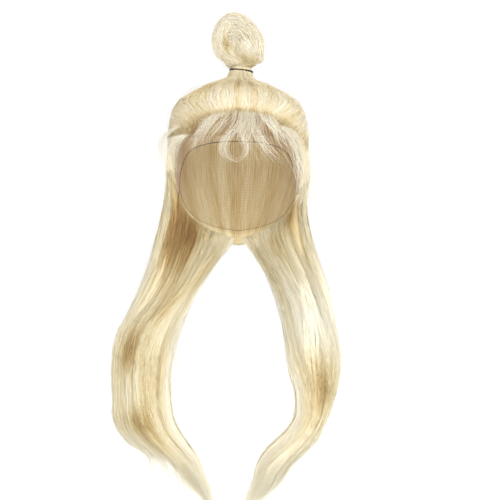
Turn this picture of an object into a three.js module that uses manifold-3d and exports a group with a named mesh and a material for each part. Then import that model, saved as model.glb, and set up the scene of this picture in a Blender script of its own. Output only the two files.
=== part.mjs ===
// A full lace wig in a half-up style: a hollow lace cap, hair swept up over it into a tied top knot,
// and loose hair that leaves the back of the cap and hangs over both shoulders to the front.
// Millimetres, +Z up, front towards -Y. The origin is where the crown of the head seats in the cap.
import * as THREE from "three";
import { mergeVertices } from "three/addons/utils/BufferGeometryUtils.js";
import Module from "manifold-3d";

const wasm = await Module();
wasm.setup();

// Head form that the cap is shaped to: half sizes about its centre, and how square its sections are
const HEAD_HALF_WIDTH = 77;
const HEAD_HALF_LENGTH = 95;
const HEAD_TOP = 85;
const HEAD_DROP = 112;
const HEAD_FULLNESS = 2.3;
const HEAD_CENTRE = new THREE.Vector3(0, 0, -HEAD_TOP);

// Walls and gaps
const LACE_WALL = 1;
const HAIR_GAP = 0.6;
const SEAM_GAP_DEG = 0.4;
const SLIVER = 0.05;
const AZIMUTH_STEP = 6;

// Azimuth is 0 at the forehead and 180 at the nape, and heights are above the crown of the head
const CAP_EDGE = [
  { azimuth: 0, height: -61 },
  { azimuth: 24, height: -64 },
  { azimuth: 42, height: -74 },
  { azimuth: 54, height: -94 },
  { azimuth: 63, height: -118 },
  { azimuth: 72, height: -121 },
  { azimuth: 84, height: -105 },
  { azimuth: 96, height: -99 },
  { azimuth: 108, height: -113 },
  { azimuth: 120, height: -134 },
  { azimuth: 144, height: -155 },
  { azimuth: 180, height: -166 },
];

// Lower edge of the swept-up hair: the hairline in front, then the parting round the back
const HAIRLINE = [
  { azimuth: 0, height: -22, lift: 3.5 },
  { azimuth: 24, height: -27, lift: 3.5 },
  { azimuth: 42, height: -38, lift: 4.5 },
  { azimuth: 57, height: -52, lift: 8 },
  { azimuth: 69, height: -60, lift: 12 },
  { azimuth: 84, height: -60, lift: 14.5 },
  { azimuth: 108, height: -55, lift: 14 },
  { azimuth: 144, height: -47, lift: 13.5 },
  { azimuth: 180, height: -44, lift: 13.5 },
];
const CROWN_LIFT = 20;
const CROWN_TOP_LIFT = 22;
const CROWN_ROLL = 0.45;
const CROWN_RIBS = 20;
const CROWN_RIB_DEPTH = 1.3;
const CROWN_ROWS = 9;
const CAP_ROWS = 9;

// Lower edge of the loose hair that lies on the back of the cap
const NAPE_EDGE = [
  { azimuth: 72, height: -92, lift: 6 },
  { azimuth: 84, height: -102, lift: 11 },
  { azimuth: 96, height: -101, lift: 14 },
  { azimuth: 108, height: -117, lift: 15 },
  { azimuth: 120, height: -140, lift: 15 },
  { azimuth: 150, height: -163, lift: 15 },
  { azimuth: 180, height: -172, lift: 15 },
];
const BACK_HAIR_FRONT = 72;
const BACK_TOP_LIFT = 12;
const BACK_RIBS = 26;
const BACK_RIB_DEPTH = 1;
const BACK_ROWS = 9;

// Hair gathered up into the tie: left and right edges, and half the depth
const KNOT_Y = 6;
const GATHER = [
  { height: 8, left: -26, right: 34, halfDepth: 30 },
  { height: 20.5, left: -23, right: 31, halfDepth: 26 },
  { height: 25, left: -15, right: 23, halfDepth: 18 },
  { height: 29, left: -9.5, right: 17.5, halfDepth: 13.2 },
  { height: 33, left: -8.2, right: 16.2, halfDepth: 12 },
  { height: 37, left: -8.2, right: 16.2, halfDepth: 12 },
];
const GATHER_SIDES = 28;
const GATHER_RIB_SHARE = 0.03;

// Top knot: the hair rises from the tie, rolls over clockwise and tucks into its own middle in front
const KNOT_ROLL = [
  { x: 4, y: 6, z: 37.4, halfWidth: 12.4, halfDepth: 12.4 },
  { x: 2.5, y: 6.5, z: 46, halfWidth: 15.5, halfDepth: 18 },
  { x: -9, y: 7, z: 57, halfWidth: 17.5, halfDepth: 23 },
  { x: -17.5, y: 7, z: 71, halfWidth: 15, halfDepth: 25 },
  { x: -14.5, y: 7, z: 86, halfWidth: 13.5, halfDepth: 23 },
  { x: -4, y: 6.5, z: 93, halfWidth: 13.5, halfDepth: 22 },
  { x: 9, y: 5.5, z: 84, halfWidth: 14, halfDepth: 23 },
  { x: 17.5, y: 4, z: 70, halfWidth: 14, halfDepth: 23 },
  { x: 17.5, y: 1, z: 56, halfWidth: 13.5, halfDepth: 20 },
  { x: 9, y: -3, z: 50, halfWidth: 11.5, halfDepth: 15 },
  { x: 0, y: -8, z: 53, halfWidth: 10, halfDepth: 12 },
  { x: -1, y: -11, z: 64, halfWidth: 8, halfDepth: 9 },
  { x: 5, y: -12, z: 69, halfWidth: 4, halfDepth: 5 },
];
const KNOT_BASE = 37.4;
const KNOT_TURNS = [
  { name: "rise", fromRow: 0, toRow: 7, steps: 16 },
  { name: "fall", fromRow: 6, toRow: 9, steps: 7 },
  { name: "tuck", fromRow: 8, toRow: 12, steps: 9 },
];
const KNOT_SIDES = 10;
const KNOT_CORE = { x: 1, y: 7, z: 66, halfWidth: 20, halfDepth: 21, halfHeight: 27 };

const TIE_HEIGHT = 33.4;
const TIE_RADIUS = 13.9;
const TIE_CORD_RADIUS = 1.1;
const TIE_TILT_DEG = 6;

// Loose hair over each shoulder: outer and inner edges of the hanging mass, row by row down its length
const LEFT_ROOT = { side: -1, outerAzimuth: 98, innerAzimuth: 176 };
const RIGHT_ROOT = { side: 1, outerAzimuth: 110, innerAzimuth: 176 };
const ROOT_LIFT = 8.4;
const ROOT_RISE = 3;
const ROOT_THICKNESS = 12.6;
const LEFT_MASS = [
  { outerX: -98, outerY: 18, outerZ: -165, innerX: -26, innerY: 74, innerZ: -202, thickness: 18 },
  { outerX: -124, outerY: -8, outerZ: -240, innerX: -57, innerY: 22, innerZ: -250, thickness: 24 },
  { outerX: -146, outerY: -26, outerZ: -290, innerX: -76, innerY: -24, innerZ: -296, thickness: 26 },
  { outerX: -152, outerY: -40, outerZ: -330, innerX: -82, innerY: -60, innerZ: -334, thickness: 25 },
  { outerX: -149, outerY: -54, outerZ: -372, innerX: -82, innerY: -82, innerZ: -372, thickness: 24 },
  { outerX: -148, outerY: -62, outerZ: -400, innerX: -76, innerY: -88, innerZ: -400, thickness: 23 },
  { outerX: -132, outerY: -68, outerZ: -423, innerX: -62, innerY: -88, innerZ: -422, thickness: 22 },
  { outerX: -118, outerY: -70, outerZ: -443, innerX: -47, innerY: -86, innerZ: -443, thickness: 20 },
  { outerX: -103, outerY: -70, outerZ: -465, innerX: -37, innerY: -82, innerZ: -465, thickness: 17 },
  { outerX: -70, outerY: -68, outerZ: -490, innerX: -28, innerY: -78, innerZ: -490, thickness: 14 },
  { outerX: -54, outerY: -66, outerZ: -518, innerX: -22, innerY: -74, innerZ: -518, thickness: 10 },
];
const RIGHT_MASS = [
  { outerX: 85, outerY: 18, outerZ: -165, innerX: 26, innerY: 74, innerZ: -202, thickness: 18 },
  { outerX: 111, outerY: -8, outerZ: -240, innerX: 52, innerY: 22, innerZ: -250, thickness: 24 },
  { outerX: 120, outerY: -26, outerZ: -290, innerX: 57, innerY: -24, innerZ: -296, thickness: 26 },
  { outerX: 124, outerY: -44, outerZ: -330, innerX: 62, innerY: -60, innerZ: -332, thickness: 25 },
  { outerX: 122, outerY: -54, outerZ: -360, innerX: 72, innerY: -78, innerZ: -360, thickness: 24 },
  { outerX: 117, outerY: -62, outerZ: -390, innerX: 73, innerY: -86, innerZ: -390, thickness: 23 },
  { outerX: 108, outerY: -68, outerZ: -412, innerX: 60, innerY: -88, innerZ: -412, thickness: 22 },
  { outerX: 92, outerY: -70, outerZ: -432, innerX: 36, innerY: -88, innerZ: -432, thickness: 21 },
  { outerX: 72, outerY: -70, outerZ: -452, innerX: 22, innerY: -84, innerZ: -452, thickness: 19 },
  { outerX: 54, outerY: -68, outerZ: -472, innerX: 17, innerY: -80, innerZ: -472, thickness: 16 },
  { outerX: 40, outerY: -66, outerZ: -492, innerX: 5, innerY: -76, innerZ: -492, thickness: 13 },
  { outerX: 24, outerY: -64, outerZ: -520, innerX: -2, innerY: -72, innerZ: -520, thickness: 9 },
];

// Locks of each mass: place from outer edge (0) to inner edge (1), share of its width, end along its length
const LEFT_LOCKS = [
  { place: 0.11, share: 0.28, end: 0.76 },
  { place: 0.31, share: 0.3, end: 0.81 },
  { place: 0.52, share: 0.3, end: 0.91 },
  { place: 0.71, share: 0.29, end: 1 },
  { place: 0.89, share: 0.26, end: 0.98 },
];
const RIGHT_LOCKS = [
  { place: 0.11, share: 0.28, end: 0.88 },
  { place: 0.31, share: 0.3, end: 0.95 },
  { place: 0.52, share: 0.3, end: 1 },
  { place: 0.71, share: 0.29, end: 0.99 },
  { place: 0.89, share: 0.26, end: 0.93 },
];
const LOCK_SIDES = 8;
const LOCK_STEPS = 14;
const LOCK_TIP_SHARE = 0.14;
const LOCK_TIP_SIZE = 0.16;

// Short locks in front of the ears, as places on the head form: lift to the lock's middle, width outwards
const LEFT_TEMPLE = [
  { azimuth: -52, height: -53, lift: 3.2, width: 4, thickness: 2.4 },
  { azimuth: -58, height: -60, lift: 8.5, width: 11, thickness: 4 },
  { azimuth: -63, height: -70, lift: 11.5, width: 17, thickness: 5 },
  { azimuth: -65, height: -81, lift: 11.5, width: 17, thickness: 5 },
  { azimuth: -63, height: -91, lift: 9, width: 12, thickness: 4 },
  { azimuth: -59, height: -97, lift: 6, width: 6, thickness: 3 },
];
const RIGHT_TEMPLE = [
  { azimuth: 44, height: -43, lift: 3.1, width: 4, thickness: 3 },
  { azimuth: 49, height: -56, lift: 7, width: 9, thickness: 5 },
  { azimuth: 53, height: -75, lift: 9, width: 14, thickness: 7 },
  { azimuth: 58, height: -95, lift: 12, width: 19, thickness: 8 },
  { azimuth: 62, height: -112, lift: 12.5, width: 20, thickness: 8 },
  { azimuth: 62, height: -124, lift: 10, width: 14, thickness: 6 },
  { azimuth: 60, height: -133, lift: 8, width: 6, thickness: 3 },
];
const TEMPLE_STEPS = 12;

const HAIR = { color: 0xecd9a2, roughness: 0.45, metalness: 0 };
const LACE = { color: 0xd8b7a0, roughness: 0.9, metalness: 0 };
const ELASTIC = { color: 0x1a1613, roughness: 0.8, metalness: 0 };

// Tables, head form and solids

function column(rows, key, name) {
  const curve = new THREE.CubicInterpolant(
    rows.map((row) => row[key]),
    rows.map((row) => row[name]),
    1,
  );
  return (at) => curve.evaluate(at)[0];
}

function smooth(low, high, value) {
  return THREE.MathUtils.smoothstep(value, low, high);
}

function direction(azimuth, polar) {
  const turn = THREE.MathUtils.degToRad(azimuth);
  const fall = THREE.MathUtils.degToRad(polar);
  return new THREE.Vector3(
    Math.sin(fall) * Math.sin(turn),
    -Math.sin(fall) * Math.cos(turn),
    Math.cos(fall),
  );
}

function headPoint(azimuth, polar, lift) {
  const way = direction(azimuth, polar);
  const halfHeight = way.z > 0 ? HEAD_TOP : HEAD_DROP;
  const sum =
    Math.abs(way.x / HEAD_HALF_WIDTH) ** HEAD_FULLNESS +
    Math.abs(way.y / HEAD_HALF_LENGTH) ** HEAD_FULLNESS +
    Math.abs(way.z / halfHeight) ** HEAD_FULLNESS;
  const radius = sum ** (-1 / HEAD_FULLNESS);
  return way.multiplyScalar(radius + lift).add(HEAD_CENTRE);
}

function polarAtHeight(azimuth, height) {
  let above = 0;
  let below = 170;
  for (let pass = 0; pass < 40; pass += 1) {
    const middle = (above + below) / 2;
    if (headPoint(azimuth, middle, 0).z > height) above = middle;
    else below = middle;
  }
  return (above + below) / 2;
}

// Azimuth measured from the forehead on either side, for the tables that serve both sides
function foldAzimuth(azimuth) {
  const turned = ((azimuth % 360) + 360) % 360;
  return turned > 180 ? 360 - turned : turned;
}

function solidOf(points, triangles) {
  const positions = new Float32Array(points.flatMap((p) => [p.x, p.y, p.z]));
  const geometry = new THREE.BufferGeometry();
  geometry.setAttribute("position", new THREE.BufferAttribute(positions, 3));
  geometry.setIndex(triangles.flat());
  const merged = mergeVertices(geometry, 1e-4);
  return new wasm.Manifold(
    new wasm.Mesh({
      numProp: 3,
      vertProperties: merged.attributes.position.array,
      triVerts: new Uint32Array(merged.index.array),
    }),
  );
}

function meshOf(name, solid, finish) {
  const { vertProperties, triVerts } = solid.getMesh();
  const geometry = new THREE.BufferGeometry();
  geometry.setAttribute("position", new THREE.BufferAttribute(new Float32Array(vertProperties), 3));
  geometry.setIndex(new THREE.BufferAttribute(new Uint32Array(triVerts), 1));
  geometry.computeVertexNormals();
  const mesh = new THREE.Mesh(geometry, new THREE.MeshStandardMaterial(finish));
  mesh.name = name;
  return mesh;
}

// A wall on the head form between two polar angles. It starts at the pole if no top is given, and is
// a full turn unless it has a first azimuth, from which it runs round the back to the other side.
function shell({ firstAzimuth, top, edge, inner, outer, rows }) {
  const open = firstAzimuth !== undefined;
  const first = open ? firstAzimuth : -180;
  const turn = open ? 360 - 2 * firstAzimuth : 360;
  const steps = Math.round(turn / AZIMUTH_STEP);
  const points = [];
  const triangles = [];
  const quad = (a, b, c, d) => {
    if (a !== b && b !== c) triangles.push([a, b, c]);
    if (a !== d && c !== d) triangles.push([a, c, d]);
  };
  const layer = (lift) => {
    const grid = [];
    for (let row = 0; row <= rows; row += 1) {
      const line = [];
      for (let step = 0; step <= steps; step += 1) {
        const azimuth = first + (turn * step) / steps;
        const along = row / rows;
        const polar = THREE.MathUtils.lerp(top ? top(azimuth) : 0, edge(azimuth), along);
        const atPole = !top && row === 0 && step > 0;
        const atSeam = !open && step === steps;
        if (atPole || atSeam) {
          line.push(line[0]);
        } else {
          line.push(points.length);
          points.push(headPoint(azimuth, polar, lift(azimuth, along)));
        }
      }
      grid.push(line);
    }
    return grid;
  };
  const skin = layer(outer);
  const back = layer(inner);
  for (let row = 0; row < rows; row += 1) {
    for (let step = 0; step < steps; step += 1) {
      quad(skin[row][step], skin[row + 1][step], skin[row + 1][step + 1], skin[row][step + 1]);
      quad(back[row][step], back[row][step + 1], back[row + 1][step + 1], back[row + 1][step]);
    }
    if (open) {
      quad(skin[row + 1][0], skin[row][0], back[row][0], back[row + 1][0]);
      quad(skin[row][steps], skin[row + 1][steps], back[row + 1][steps], back[row][steps]);
    }
  }
  for (let step = 0; step < steps; step += 1) {
    quad(skin[rows][step + 1], skin[rows][step], back[rows][step], back[rows][step + 1]);
    if (top) quad(skin[0][step], skin[0][step + 1], back[0][step + 1], back[0][step]);
  }
  return solidOf(points, triangles);
}

// A closed solid through rings of points, each ring running anticlockwise seen from the next one
function loft(rings) {
  const points = rings.flat();
  const sides = rings[0].length;
  const triangles = [];
  const middleOf = (ring) =>
    ring.reduce((sum, p) => sum.add(p), new THREE.Vector3()).divideScalar(sides);
  rings.slice(1).forEach((_, ring) => {
    for (let side = 0; side < sides; side += 1) {
      const next = (side + 1) % sides;
      const a = ring * sides + side;
      const b = ring * sides + next;
      triangles.push([a, b, b + sides], [a, b + sides, a + sides]);
    }
  });
  const start = points.push(middleOf(rings[0])) - 1;
  const end = points.push(middleOf(rings[rings.length - 1])) - 1;
  const lastRing = (rings.length - 1) * sides;
  for (let side = 0; side < sides; side += 1) {
    const next = (side + 1) % sides;
    triangles.push([start, next, side], [end, lastRing + side, lastRing + next]);
  }
  return solidOf(points, triangles);
}

// A lock along a path: across gives the way that its width lies, and the ends are closed
function sweep({ steps, place, across, halfWidth, halfThickness, sides }) {
  const rings = [];
  const reach = 0.01;
  for (let step = 0; step <= steps; step += 1) {
    const at = step / steps;
    const middle = place(at);
    const way = place(Math.min(at + reach, 1)).sub(place(Math.max(at - reach, 0))).normalize();
    const wide = across(at).normalize();
    const thick = way.cross(wide).normalize();
    rings.push(
      Array.from({ length: sides }, (_, side) => {
        const angle = (2 * Math.PI * side) / sides;
        return middle
          .clone()
          .addScaledVector(wide, Math.cos(angle) * halfWidth(at))
          .addScaledVector(thick, Math.sin(angle) * halfThickness(at));
      }),
    );
  }
  return loft(rings);
}

// The columns of a table as functions of the way along it, from 0 at its first row to 1 at its last
function columnsAlong(rows) {
  const steps = rows.map((row, at) => ({ ...row, at: at / (rows.length - 1) }));
  const columns = {};
  for (const name of Object.keys(rows[0])) {
    columns[name] = column(steps, "at", name);
  }
  return columns;
}

// The main body of a join or cut, without the slivers that it leaves
function mainBody(solid) {
  const bodies = solid.asOriginal().simplify(SLIVER).decompose();
  return bodies.reduce((most, body) => (body.volume() > most.volume() ? body : most));
}

function fuse(solids) {
  return solids.reduce((whole, solid) => whole.add(solid));
}

// Lace cap and the hair that lies on it

const capEdge = column(CAP_EDGE, "azimuth", "height");
const hairlineHeight = column(HAIRLINE, "azimuth", "height");
const hairlineLift = column(HAIRLINE, "azimuth", "lift");
const napeHeight = column(NAPE_EDGE, "azimuth", "height");
const napeLift = column(NAPE_EDGE, "azimuth", "lift");
const hairInside = LACE_WALL + HAIR_GAP;

const capEdgePolar = (azimuth) => polarAtHeight(azimuth, capEdge(foldAzimuth(azimuth)));
const hairlinePolar = (azimuth) => polarAtHeight(azimuth, hairlineHeight(foldAzimuth(azimuth)));
const napePolar = (azimuth) => polarAtHeight(azimuth, napeHeight(foldAzimuth(azimuth)));

function rib(azimuth, count, depth) {
  const swing = Math.sin(THREE.MathUtils.degToRad(azimuth * count));
  const drift = Math.sin(THREE.MathUtils.degToRad(azimuth * count * 0.37));
  return depth * (0.6 * swing + 0.4 * drift);
}

function crownLift(azimuth, along) {
  const full = THREE.MathUtils.lerp(CROWN_TOP_LIFT, CROWN_LIFT, smooth(0, 0.5, along));
  const roll = smooth(CROWN_ROLL, 1, along) ** 1.6;
  const ribs = rib(azimuth, CROWN_RIBS, CROWN_RIB_DEPTH) * smooth(0, 0.35, along);
  return THREE.MathUtils.lerp(full + ribs, hairlineLift(foldAzimuth(azimuth)), roll);
}

function backLift(azimuth, along) {
  const low = napeLift(foldAzimuth(azimuth));
  const high = Math.min(BACK_TOP_LIFT, low);
  const ribs = rib(azimuth, BACK_RIBS, BACK_RIB_DEPTH) * smooth(0, 0.4, along);
  return THREE.MathUtils.lerp(high, low, smooth(0, 0.8, along)) + ribs;
}

function laceCap() {
  return shell({ edge: capEdgePolar, inner: () => 0, outer: () => LACE_WALL, rows: CAP_ROWS });
}

function backHair(grow = 0) {
  return shell({
    firstAzimuth: BACK_HAIR_FRONT,
    top: (azimuth) => hairlinePolar(azimuth) + SEAM_GAP_DEG,
    edge: (azimuth) => napePolar(azimuth) + (grow ? SEAM_GAP_DEG : 0),
    inner: () => hairInside - grow,
    outer: (azimuth, along) => backLift(azimuth, along) + grow,
    rows: BACK_ROWS,
  });
}

// Ribbed rings of the hair that stands up into the tie
function gatherRings() {
  return GATHER.map((row) => {
    const middle = new THREE.Vector3((row.left + row.right) / 2, KNOT_Y, row.height);
    return Array.from({ length: GATHER_SIDES }, (_, side) => {
      const angle = (2 * Math.PI * side) / GATHER_SIDES;
      const size = 1 + GATHER_RIB_SHARE * (side % 2 ? -1 : 0);
      const x = (Math.cos(angle) * size * (row.right - row.left)) / 2;
      return middle.clone().add(new THREE.Vector3(x, Math.sin(angle) * size * row.halfDepth, 0));
    });
  });
}

function crownHair() {
  const dome = shell({
    edge: hairlinePolar,
    inner: () => hairInside,
    outer: crownLift,
    rows: CROWN_ROWS,
  });
  return dome.add(loft(gatherRings()));
}

function knotTurn({ fromRow, toRow, steps }) {
  const roll = columnsAlong(KNOT_ROLL.slice(fromRow, toRow + 1));
  return sweep({
    steps,
    sides: KNOT_SIDES,
    place: (at) => new THREE.Vector3(roll.x(at), roll.y(at), roll.z(at)),
    across: () => new THREE.Vector3(0, 1, 0),
    halfWidth: roll.halfDepth,
    halfThickness: roll.halfWidth,
  });
}

function topKnot() {
  const ball = new THREE.SphereGeometry(1, 16, 10);
  ball.deleteAttribute("normal");
  ball.deleteAttribute("uv");
  ball.scale(KNOT_CORE.halfWidth, KNOT_CORE.halfDepth, KNOT_CORE.halfHeight);
  ball.translate(KNOT_CORE.x, KNOT_CORE.y, KNOT_CORE.z);
  const { position } = mergeVertices(ball, 1e-3).attributes;
  const { array: corners } = mergeVertices(ball, 1e-3).index;
  const core = new wasm.Manifold(
    new wasm.Mesh({ numProp: 3, vertProperties: position.array, triVerts: new Uint32Array(corners) }),
  );
  const knot = fuse([core, ...KNOT_TURNS.map(knotTurn)]);
  return mainBody(knot.trimByPlane([0, 0, 1], KNOT_BASE));
}

function hairTie() {
  const tie = new THREE.Mesh(
    new THREE.TorusGeometry(TIE_RADIUS, TIE_CORD_RADIUS, 8, 24),
    new THREE.MeshStandardMaterial(ELASTIC),
  );
  tie.name = "hair_tie";
  tie.position.set(KNOT_ROLL[0].x, KNOT_Y, TIE_HEIGHT);
  tie.rotation.y = THREE.MathUtils.degToRad(TIE_TILT_DEG);
  return tie;
}

// Loose hair over the shoulders

// The middle of a hanging mass as a surface: across it from outer to inner edge, along it from root to end
function massSurface(rows, { side, outerAzimuth, innerAzimuth }) {
  const { thickness } = columnsAlong([{ thickness: ROOT_THICKNESS }, ...rows]);
  const place = (across, along) => {
    const azimuth = THREE.MathUtils.lerp(outerAzimuth, innerAzimuth, across);
    const root = headPoint(side * azimuth, napePolar(azimuth), ROOT_LIFT);
    root.z += ROOT_RISE;
    const hanging = rows.map((row) =>
      new THREE.Vector3(row.outerX, row.outerY, row.outerZ).lerp(
        new THREE.Vector3(row.innerX, row.innerY, row.innerZ),
        across,
      ),
    );
    return new THREE.CatmullRomCurve3([root, ...hanging], false, "catmullrom").getPoint(along);
  };
  return { place, thickness };
}

function lockOf(surface, { place, share, end }) {
  const reach = 0.02;
  const spanAt = (at) =>
    surface.place(place + reach, at * end).sub(surface.place(place - reach, at * end));
  const taper = (at) => {
    const left = ((1 - at) * end) / LOCK_TIP_SHARE;
    return THREE.MathUtils.lerp(LOCK_TIP_SIZE, 1, Math.sqrt(Math.min(left, 1)));
  };
  return sweep({
    steps: LOCK_STEPS,
    sides: LOCK_SIDES,
    place: (at) => surface.place(place, at * end),
    across: spanAt,
    halfWidth: (at) => (spanAt(at).length() * share * taper(at)) / (4 * reach),
    halfThickness: (at) => (surface.thickness(at * end) * taper(at)) / 2,
  });
}

// The locks of one side, cut to meet the hair on the cap
function looseLength(rows, locks, root) {
  const surface = massSurface(rows, root);
  return mainBody(fuse(locks.map((lock) => lockOf(surface, lock))).subtract(backHair(HAIR_GAP)));
}

// Locks in front of the ears

function templeLock(rows) {
  const lock = columnsAlong(rows);
  const point = (at, raised) => {
    const azimuth = lock.azimuth(at);
    return headPoint(azimuth, polarAtHeight(azimuth, lock.height(at)), lock.lift(at) + raised);
  };
  return sweep({
    steps: TEMPLE_STEPS,
    sides: LOCK_SIDES,
    place: (at) => point(at, 0),
    across: (at) => point(at, 1).sub(point(at, 0)),
    halfWidth: (at) => lock.width(at) / 2,
    halfThickness: (at) => lock.thickness(at) / 2,
  });
}

const wig = new THREE.Group();
wig.add(
  meshOf("lace_cap", laceCap(), LACE),
  meshOf("crown_hair", crownHair(), HAIR),
  meshOf("back_hair", backHair(), HAIR),
  meshOf("top_knot", topKnot(), HAIR),
  hairTie(),
  meshOf("left_length", looseLength(LEFT_MASS, LEFT_LOCKS, LEFT_ROOT), HAIR),
  meshOf("right_length", looseLength(RIGHT_MASS, RIGHT_LOCKS, RIGHT_ROOT), HAIR),
  meshOf("left_temple_lock", templeLock(LEFT_TEMPLE), HAIR),
  meshOf("right_temple_lock", templeLock(RIGHT_TEMPLE), HAIR),
);

export default wig;
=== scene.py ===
"""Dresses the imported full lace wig: net, strands, locks, wisps and tie, on a plain pale stage.

Tables are in millimetres and degrees, as in the part's source, and meshes are in metres.
"""

import itertools
import math

import bpy
import numpy as np
from bpy.props import FloatProperty, FloatVectorProperty, IntProperty, PointerProperty
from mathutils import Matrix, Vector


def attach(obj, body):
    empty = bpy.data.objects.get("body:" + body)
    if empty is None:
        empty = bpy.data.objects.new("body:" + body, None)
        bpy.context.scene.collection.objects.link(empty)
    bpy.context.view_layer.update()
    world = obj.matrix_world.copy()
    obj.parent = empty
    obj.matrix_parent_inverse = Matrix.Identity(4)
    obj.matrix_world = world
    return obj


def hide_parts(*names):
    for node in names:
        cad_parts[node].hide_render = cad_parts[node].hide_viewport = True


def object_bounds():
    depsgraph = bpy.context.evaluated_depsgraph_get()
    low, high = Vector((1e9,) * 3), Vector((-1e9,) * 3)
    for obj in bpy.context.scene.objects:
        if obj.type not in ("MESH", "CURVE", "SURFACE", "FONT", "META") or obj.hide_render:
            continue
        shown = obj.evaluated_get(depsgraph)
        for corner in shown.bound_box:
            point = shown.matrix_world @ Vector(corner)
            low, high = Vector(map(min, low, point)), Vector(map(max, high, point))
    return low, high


bl_info = {
    "name": "Full Lace Wig",
    "version": (1, 0, 0),
    "blender": (4, 5, 0),
    "location": "View3D > Sidebar > Wig",
    "description": "Builds the lace, strands, locks and tie of a long half-up lace wig",
    "category": "Add Mesh",
}

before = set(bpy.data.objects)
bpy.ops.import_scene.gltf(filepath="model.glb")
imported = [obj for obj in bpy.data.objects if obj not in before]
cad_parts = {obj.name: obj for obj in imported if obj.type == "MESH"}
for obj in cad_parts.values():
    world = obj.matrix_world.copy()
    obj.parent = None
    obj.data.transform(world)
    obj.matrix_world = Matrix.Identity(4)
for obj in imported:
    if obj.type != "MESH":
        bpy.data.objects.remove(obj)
CAD_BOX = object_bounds()
MM = 0.001


def table(columns, *rows):
    """Rows of a table, each under the names of its columns."""
    return tuple(dict(zip(columns.split(), row)) for row in rows)


# Head form that the cap is shaped to
HEAD_HALF_WIDTH = 77
HEAD_HALF_LENGTH = 95
HEAD_TOP = 85
HEAD_DROP = 112
HEAD_FULLNESS = 2.3

# Azimuth is 0 at the forehead and 180 at the nape; heights are above the crown of the head
CAP_EDGE = table(
    "azimuth height",
    (0, -61),
    (24, -64),
    (42, -74),
    (54, -94),
    (63, -118),
    (72, -121),
    (84, -105),
    (96, -99),
    (108, -113),
    (120, -134),
    (144, -155),
    (180, -166),
)
HAIRLINE = table(
    "azimuth height lift",
    (0, -22, 3.5),
    (24, -27, 3.5),
    (42, -38, 4.5),
    (57, -52, 8),
    (69, -60, 12),
    (84, -60, 14.5),
    (108, -55, 14),
    (144, -47, 13.5),
    (180, -44, 13.5),
)
NAPE_EDGE = table(
    "azimuth height lift",
    (72, -92, 6),
    (84, -102, 11),
    (96, -101, 14),
    (108, -117, 15),
    (120, -140, 15),
    (150, -163, 15),
    (180, -172, 15),
)

# Lace: the net over the head form, how far cells may cross the edge, and the fibres of its thread
NET_LIFT = 0.6
NET_MARGIN = 1.2
NET_SIDES = 3
EDGE_POINTS = 481
LACE_FIBRE = 900

# Hair on the cap
CROWN_LIFT = 20
CROWN_TOP_LIFT = 22
CROWN_ROLL = 0.45
GATHER_POLAR = 15
GATHER_SHARE = 0.8
CROWN_SWEEP = 48
SIDE_FULLNESS = 5
BACK_HAIR_FRONT = 72
BACK_TOP_LIFT = 12
HAIR_INSIDE = 1.8
CROWN_LEAVE = -0.015
CROWN_STEPS = np.array([0, 0.012, 0.03, 0.055, 0.09, 0.14, 0.21, 0.3, 0.42, 0.55, 0.68, 0.79, 0.9, 1])
CROWN_UNDER_HAIRLINE = 0.3
CROWN_AT_HAIRLINE = 0.72
CROWN_FLYAWAYS = 150
BACK_MIDDLE = 179
BACK_STEPS = np.array([0, 0.04, 0.1, 0.2, 0.36, 0.54, 0.72, 0.86, 0.95])
BACK_RUNS = np.array([0.03, 0.08, 0.15, 0.26])
BACK_FROM_PARTING = 0.7
NAPE_HAIRS = 60
STRAND_LIFT = 1.4

# Tie and top knot; in the table of painted shade and highlights on the front of the knot, across is x and
# along is z
TIE = {"x": 4, "y": 6, "z": 33.4, "radius": 13.9, "cord": 1.1, "tilt": 6, "neck": 11.6}
TIE_POINTS = 145
TIE_THREAD = 0.34
ELASTIC_FIBRE = 1200
KNOT_BASE = 37.4
KNOT_ROLL = table(
    "x y z half_width half_depth",
    (4, 6, 37.4, 12.4, 12.4),
    (2.5, 6.5, 46, 15.5, 18),
    (-9, 7, 57, 17.5, 23),
    (-17.5, 7, 71, 15, 25),
    (-14.5, 7, 86, 13.5, 23),
    (-4, 6.5, 93, 13.5, 22),
    (9, 5.5, 84, 14, 23),
    (17.5, 4, 70, 14, 23),
    (17.5, 1, 56, 13.5, 20),
    (9, -3, 50, 11.5, 15),
    (0, -8, 53, 10, 12),
    (-1, -11, 64, 8, 9),
    (5, -12, 69, 4, 5),
)
KNOT_COIL = {"middle": (10, -3, 61), "half": (20, 18, 22), "tint": 0.7}
KNOT_CORE = {"middle": (1, 3, 66), "half": (25, 20.5, 27.5), "tint": 0.66}
KNOT_FAN = {"middle": (1, 7, 66), "half": (30.5, 27.5, 36.5)}
KNOT_AXIS = (-0.55, -0.72, -0.42)
KNOT_LEAN = 5
KNOT_COILS = (
    {"group": "knot_coil", "lobe": KNOT_COIL, "count": 540, "fall": (0.05, 2.1)},
    {"group": "knot_core", "lobe": KNOT_CORE, "count": 170, "fall": (1.8, 3.1)},
)
# Painted shade in the crease and under the coil, painted highlight on the coil and the top
KNOT_PAINTED_SHADING = table(
    "across along wide long tone",
    (-15, 64, 4.5, 10, -0.55),
    (6, 46, 11, 7, -0.2),
    (13, 63, 8, 9, 0.2),
    (-6, 90, 9, 8, 0.12),
)
KNOT_POINTS = 12
KNOT_FROM_TIE = 0.6
KNOT_FLYAWAYS = 80
FAN_DRAWN = 2200
FAN_KEPT = 330

# Loose hair over the shoulders, which leaves the lower edge of the back hair
ROOT_LIFT = 8.4
ROOT_RISE = 3
ROOT_THICKNESS = 12.6
LENGTH_ON_BACK = 0.25
EASING_ROUNDS = 3
RIM_SHARE = 0.05
FRONT_SHARE = 0.58
FULL_LENGTH_SHARE = 0.75
BACK_SHEET_WIDTH = 0.95
LOOSE_STEPS = np.concatenate([[0, 0.015, 0.03, 0.055, 0.085], np.linspace(0.12, 0.9, 11), [0.95, 1]])
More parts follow.
